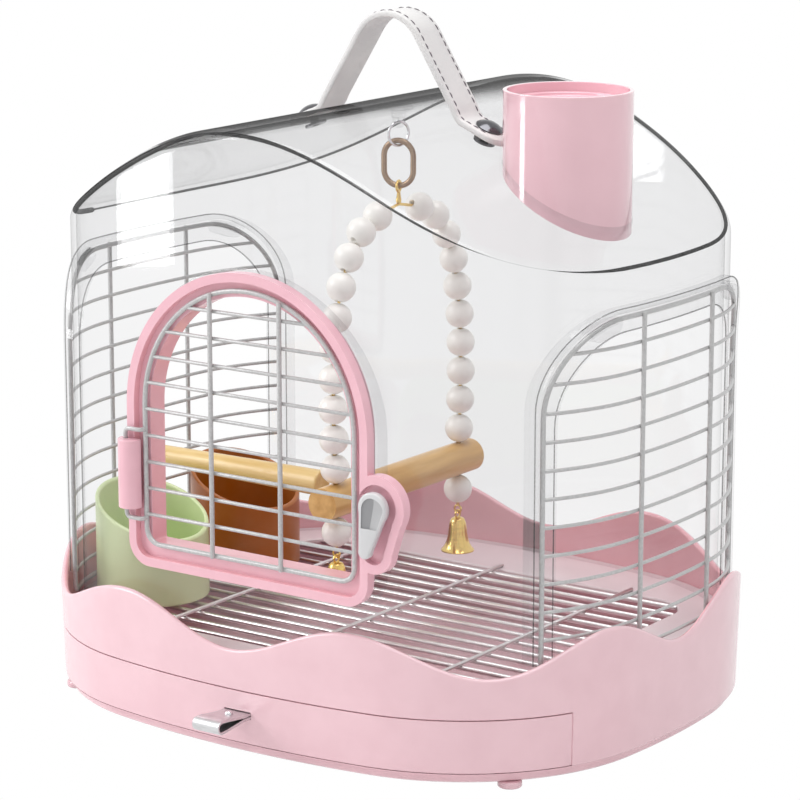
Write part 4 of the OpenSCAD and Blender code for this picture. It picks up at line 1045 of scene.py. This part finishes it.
def rivets():
    """Domed heads square to the roof, with their shanks and washers."""
    s = Shape()
    for x in (-47.0, 47.0):
        turn = Matrix.Rotation(-math.atan(roof_slope(x)), 3, "Y")
        s.lathe([(0, 5.6), (1.6, 5.5), (3.0, 5.15), (4.3, 4.6), (5.3, 4.0), (5.8, 3.6), (6.2, 3.3),
                 (6.2, 3.0), (2.0, 2.95), (2.0, -4.0), (5.0, -4.0), (5.0, -2.9), (0.0, -2.8)],
                48, at=(x, 0, roof_z(x)), turn=turn)
    s.piece("rivet_heads", dark_metal, "cover_unit", ("handle_rivets",), sharp=40)


rivets()

# Swing

dressed("swing_hook", "cover_unit", clear, 0.4, 2)


def ring_path(z, r, turn, n, half_h=0.0):
    """A ring or link that stands upright on the swing's axis, turned about it in degrees."""
    c, d = math.cos(math.radians(turn)), math.sin(math.radians(turn))
    return [(r * a * c, r * a * d, z + r * b + (half_h if b >= 0 else -half_h))
            for a, b in circle(n)]


def hanging():
    """Split ring, oval link and the eye with its shank."""
    s = Shape()
    s.tube(ring_path(254.1, 5.35, 70, 48), 0.65, 14, closed=True)
    s.piece("ring_wire", chrome, "ring_unit", ("split_ring",))
    s = Shape()
    s.tube(ring_path(240.95, 6.9, 15, 56, 3.15), 1.3, 16, closed=True)
    s.piece("link_wire", bronze, "swing_unit", ("oval_link",))
    s = Shape()
    s.tube(ring_path(230.65, 2.3, 105, 32), 0.7, closed=True)
    s.lathe([(0.0, 223.2), (1.1, 223.2), (1.25, 224.5), (0.9, 226.5), (0.7, 228.6), (0.0, 229.0)],
            24)
    s.piece("eye", brass, "swing_unit", ("swing_eye",))


hanging()

# The swing's wire loop in Y and Z, from its top down one side
LOOP_HALF, LOOP_LOW, LOOP_H = 49.5, 97.0, 125.6
LOOP_SHARES = [(0, 1), (0.3, 0.978), (0.58, 0.93), (0.76, 0.85), (0.88, 0.75), (0.95, 0.63),
               (0.99, 0.5), (1, 0.36), (0.99, 0.2), (0.97, 0.08), (0.96, 0)]
LOOP = [Vector((LOOP_HALF * a, LOOP_LOW + LOOP_H * b)) for a, b in LOOP_SHARES]
BEAD_R = 6.6


def loop_at(s):
    """Point and direction at a length along the loop."""
    for i, (a, b) in enumerate(zip(LOOP, LOOP[1:])):
        d = (b - a).length
        if s <= d or i == len(LOOP) - 2:
            return a + (b - a) * (s / d), (b - a).normalized()
        s -= d


def bead(s, y, z, lean):
    """A bored bead, added to a shape."""
    hole, inside, sunk = 1.4, 1.12, 0.5
    a0 = math.asin(hole / BEAD_R)
    prof = []
    for k in range(15):
        a = a0 + (math.pi - 2 * a0) * k / 14
        prof.append((BEAD_R * math.sin(a), BEAD_R * math.cos(a)))
    end = BEAD_R * math.cos(a0) - sunk
    prof += [(inside, -end), (inside, end)]
    turn = Matrix.Rotation(lean, 3, "X")
    s.grid([[tuple(turn @ Vector((r * c, r * d, h)) + Vector((0, y, z))) for c, d in circle(32)]
            for r, h in prof], wrap_u=True, wrap_v=True)


def beads():
    """Two strings on the loop down to the perch, and one bead under each of the perch's ends."""
    perch_r, gap, pitch, low_z = 7.5, 0.3, 13.5, 82.6
    total = sum((b - a).length for a, b in zip(LOOP, LOOP[1:]))
    for side, label in ((-1, "near"), (1, "far")):
        s = Shape()
        for i in range(10):
            p, d = loop_at(total - perch_r - BEAD_R - gap - pitch * i)
            bead(s, side * p.x, p.y, side * math.atan2(d.x, -d.y))
        s.piece(label + "_bead_string", bead_mat, "swing_unit", (label + "_beads",), merge=False)
    s = Shape()
    for side in (-1, 1):
        bead(s, side * SWING_END, low_z, 0)
    s.piece("lower_beads", bead_mat, "swing_unit", ("end_beads",), merge=False)


beads()


def swing_wires():
    """The loop's wire, its two ends through the perch, and the small loops for the bells."""
    small_r, small_z, small_wire_r = 1.8, 72.8, 0.47
    s = Shape()
    s.tube([(0, -p.x, p.y) for p in reversed(LOOP)] + [(0, p.x, p.y) for p in LOOP[1:]],
           SWING_WIRE_R, 10)
    for y in (-SWING_END, SWING_END):
        s.tube([(0, y, z) for z in (98, 86, 74.6)], SWING_WIRE_R, 10)
        s.tube([(small_r * a, y, small_z + small_r * b) for a, b in circle(28)], small_wire_r, 8,
               closed=True)
    s.piece("swing_wires", brass, "swing_unit", ("swing_wire",))


swing_wires()
dressed("swing_perch", "swing_unit", wood_swing, 0.8, 3, 40)


def bells():
    """Bell cups with their hanging loops, and the clappers inside."""
    mouth_r, low, high, wall, loop_r, loop_z, loop_wire_r = 7.75, 52.92, 16.0, 0.8, 1.8, 70.47, 0.5
    shares = [(0, 1), (0.22, 1), (0.36, 0.97), (0.42, 0.93), (0.48, 0.86), (0.52, 0.78),
              (0.57, 0.55), (0.64, 0.35), (0.70, 0.25), (0.78, 0.17), (0.90, 0.08), (1, 0.03),
              (1.0, 0.0)]
    outside = [(mouth_r * a, low + high * b) for a, b in shares]
    inside = [(max(mouth_r * a - wall, 0), low + high * b - (wall if b > 0.8 else 0))
              for a, b in reversed(shares[:-1])]
    for side, label in ((-1, "near"), (1, "far")):
        y = side * SWING_END
        s = Shape()
        s.lathe(outside + inside, 40, at=(0, y, 0))
        s.tube([(0, y + loop_r * a, loop_z + loop_r * b) for a, b in circle(24)], loop_wire_r, 10,
               closed=True)
        s.piece(label + "_bell_cup", brass, label + "_bell_unit", (label + "_bell",))
        dressed(label + "_clapper", label + "_bell_unit", bronze, 0)


bells()

# Side perch and cups

dressed("side_perch", "cover_unit", wood_side, 0.8, 3, 40)
dressed("perch_screw", "cover_unit", steel, 0.3, 2, 40)
dressed("perch_washers", "cover_unit", steel, 0.25, 2, 40)
dressed("green_cup", "green_cup_unit", green, 0.8, 3, 40)
dressed("brown_cup", "brown_cup_unit", brown, 0.8, 3, 40)


# Floor, world and light

def white_where_seen(owner, lit, seen, out):
    """One shader lights the object, and a white one is what the camera, gloss and glass see."""
    path = node_of(owner, "ShaderNodeLightPath")
    direct = path.outputs["Is Camera Ray"]
    for ray in ("Is Glossy Ray", "Is Transmission Ray"):
        either = node_of(owner, "ShaderNodeMath", operation="MAXIMUM")
        wire_up(owner, direct, either.inputs[0])
        wire_up(owner, path.outputs[ray], either.inputs[1])
        direct = either.outputs[0]
    mix = node_of(owner, "ShaderNodeMixShader")
    wire_up(owner, direct, mix.inputs["Fac"])
    wire_up(owner, lit.outputs[0], mix.inputs[1])
    wire_up(owner, seen.outputs[0], mix.inputs[2])
    wire_up(owner, mix.outputs["Shader"], out.inputs["Surface"])


def stage():
    """White floor and white world."""
    reach, white = 6, (1, 1, 1, 1)
    mesh = bpy.data.meshes.new("floor")
    mesh.from_pydata([(a * reach, b * reach, 0) for a, b in ((-1, -1), (1, -1), (1, 1), (-1, 1))],
                     [], [(0, 1, 2, 3)])
    floor = bpy.data.objects.new("floor", mesh)
    bpy.context.scene.collection.objects.link(floor)
    mat = bpy.data.materials.new("floor")
    mat.use_nodes = True
    mat.node_tree.nodes.clear()
    white_where_seen(mat, node_of(mat, "ShaderNodeBsdfDiffuse", Color=(0.9, 0.9, 0.9, 1)),
                     node_of(mat, "ShaderNodeEmission", Color=white, Strength=1.0),
                     node_of(mat, "ShaderNodeOutputMaterial"))
    mesh.materials.append(mat)

    world = bpy.data.worlds.new("world")
    bpy.context.scene.world = world
    world.use_nodes = True
    world.node_tree.nodes.clear()
    white_where_seen(world, node_of(world, "ShaderNodeBackground", Color=white, Strength=0.55),
                     node_of(world, "ShaderNodeBackground", Color=white, Strength=1.0),
                     node_of(world, "ShaderNodeOutputWorld"))


def area_light(name, place, aim, power, size, size_y=None):
    """A square or rectangular lamp aimed at a point, in metres and watts."""
    data = bpy.data.lights.new(name, "AREA")
    data.energy, data.size = power, size
    if size_y:
        data.shape, data.size_y = "RECTANGLE", size_y
    ob = bpy.data.objects.new(name, data)
    ob.location = place
    ob.rotation_euler = (Vector(aim) - Vector(place)).to_track_quat("-Z", "Y").to_euler()
    bpy.context.scene.collection.objects.link(ob)


stage()
area_light("key", (-1.5, -1.2, 1.1), (0, 0, 0.12), 16.5, 0.9)
area_light("softbox", (-0.656, -0.543, 0.122), (-0.05, -0.115, 0.2), 0.5, 0.16, 0.10)
area_light("top", (0.2, -0.1, 1.9), (0, 0, 0.1), 22, 1.3)
bpy.context.scene.view_settings.view_transform = "Standard"
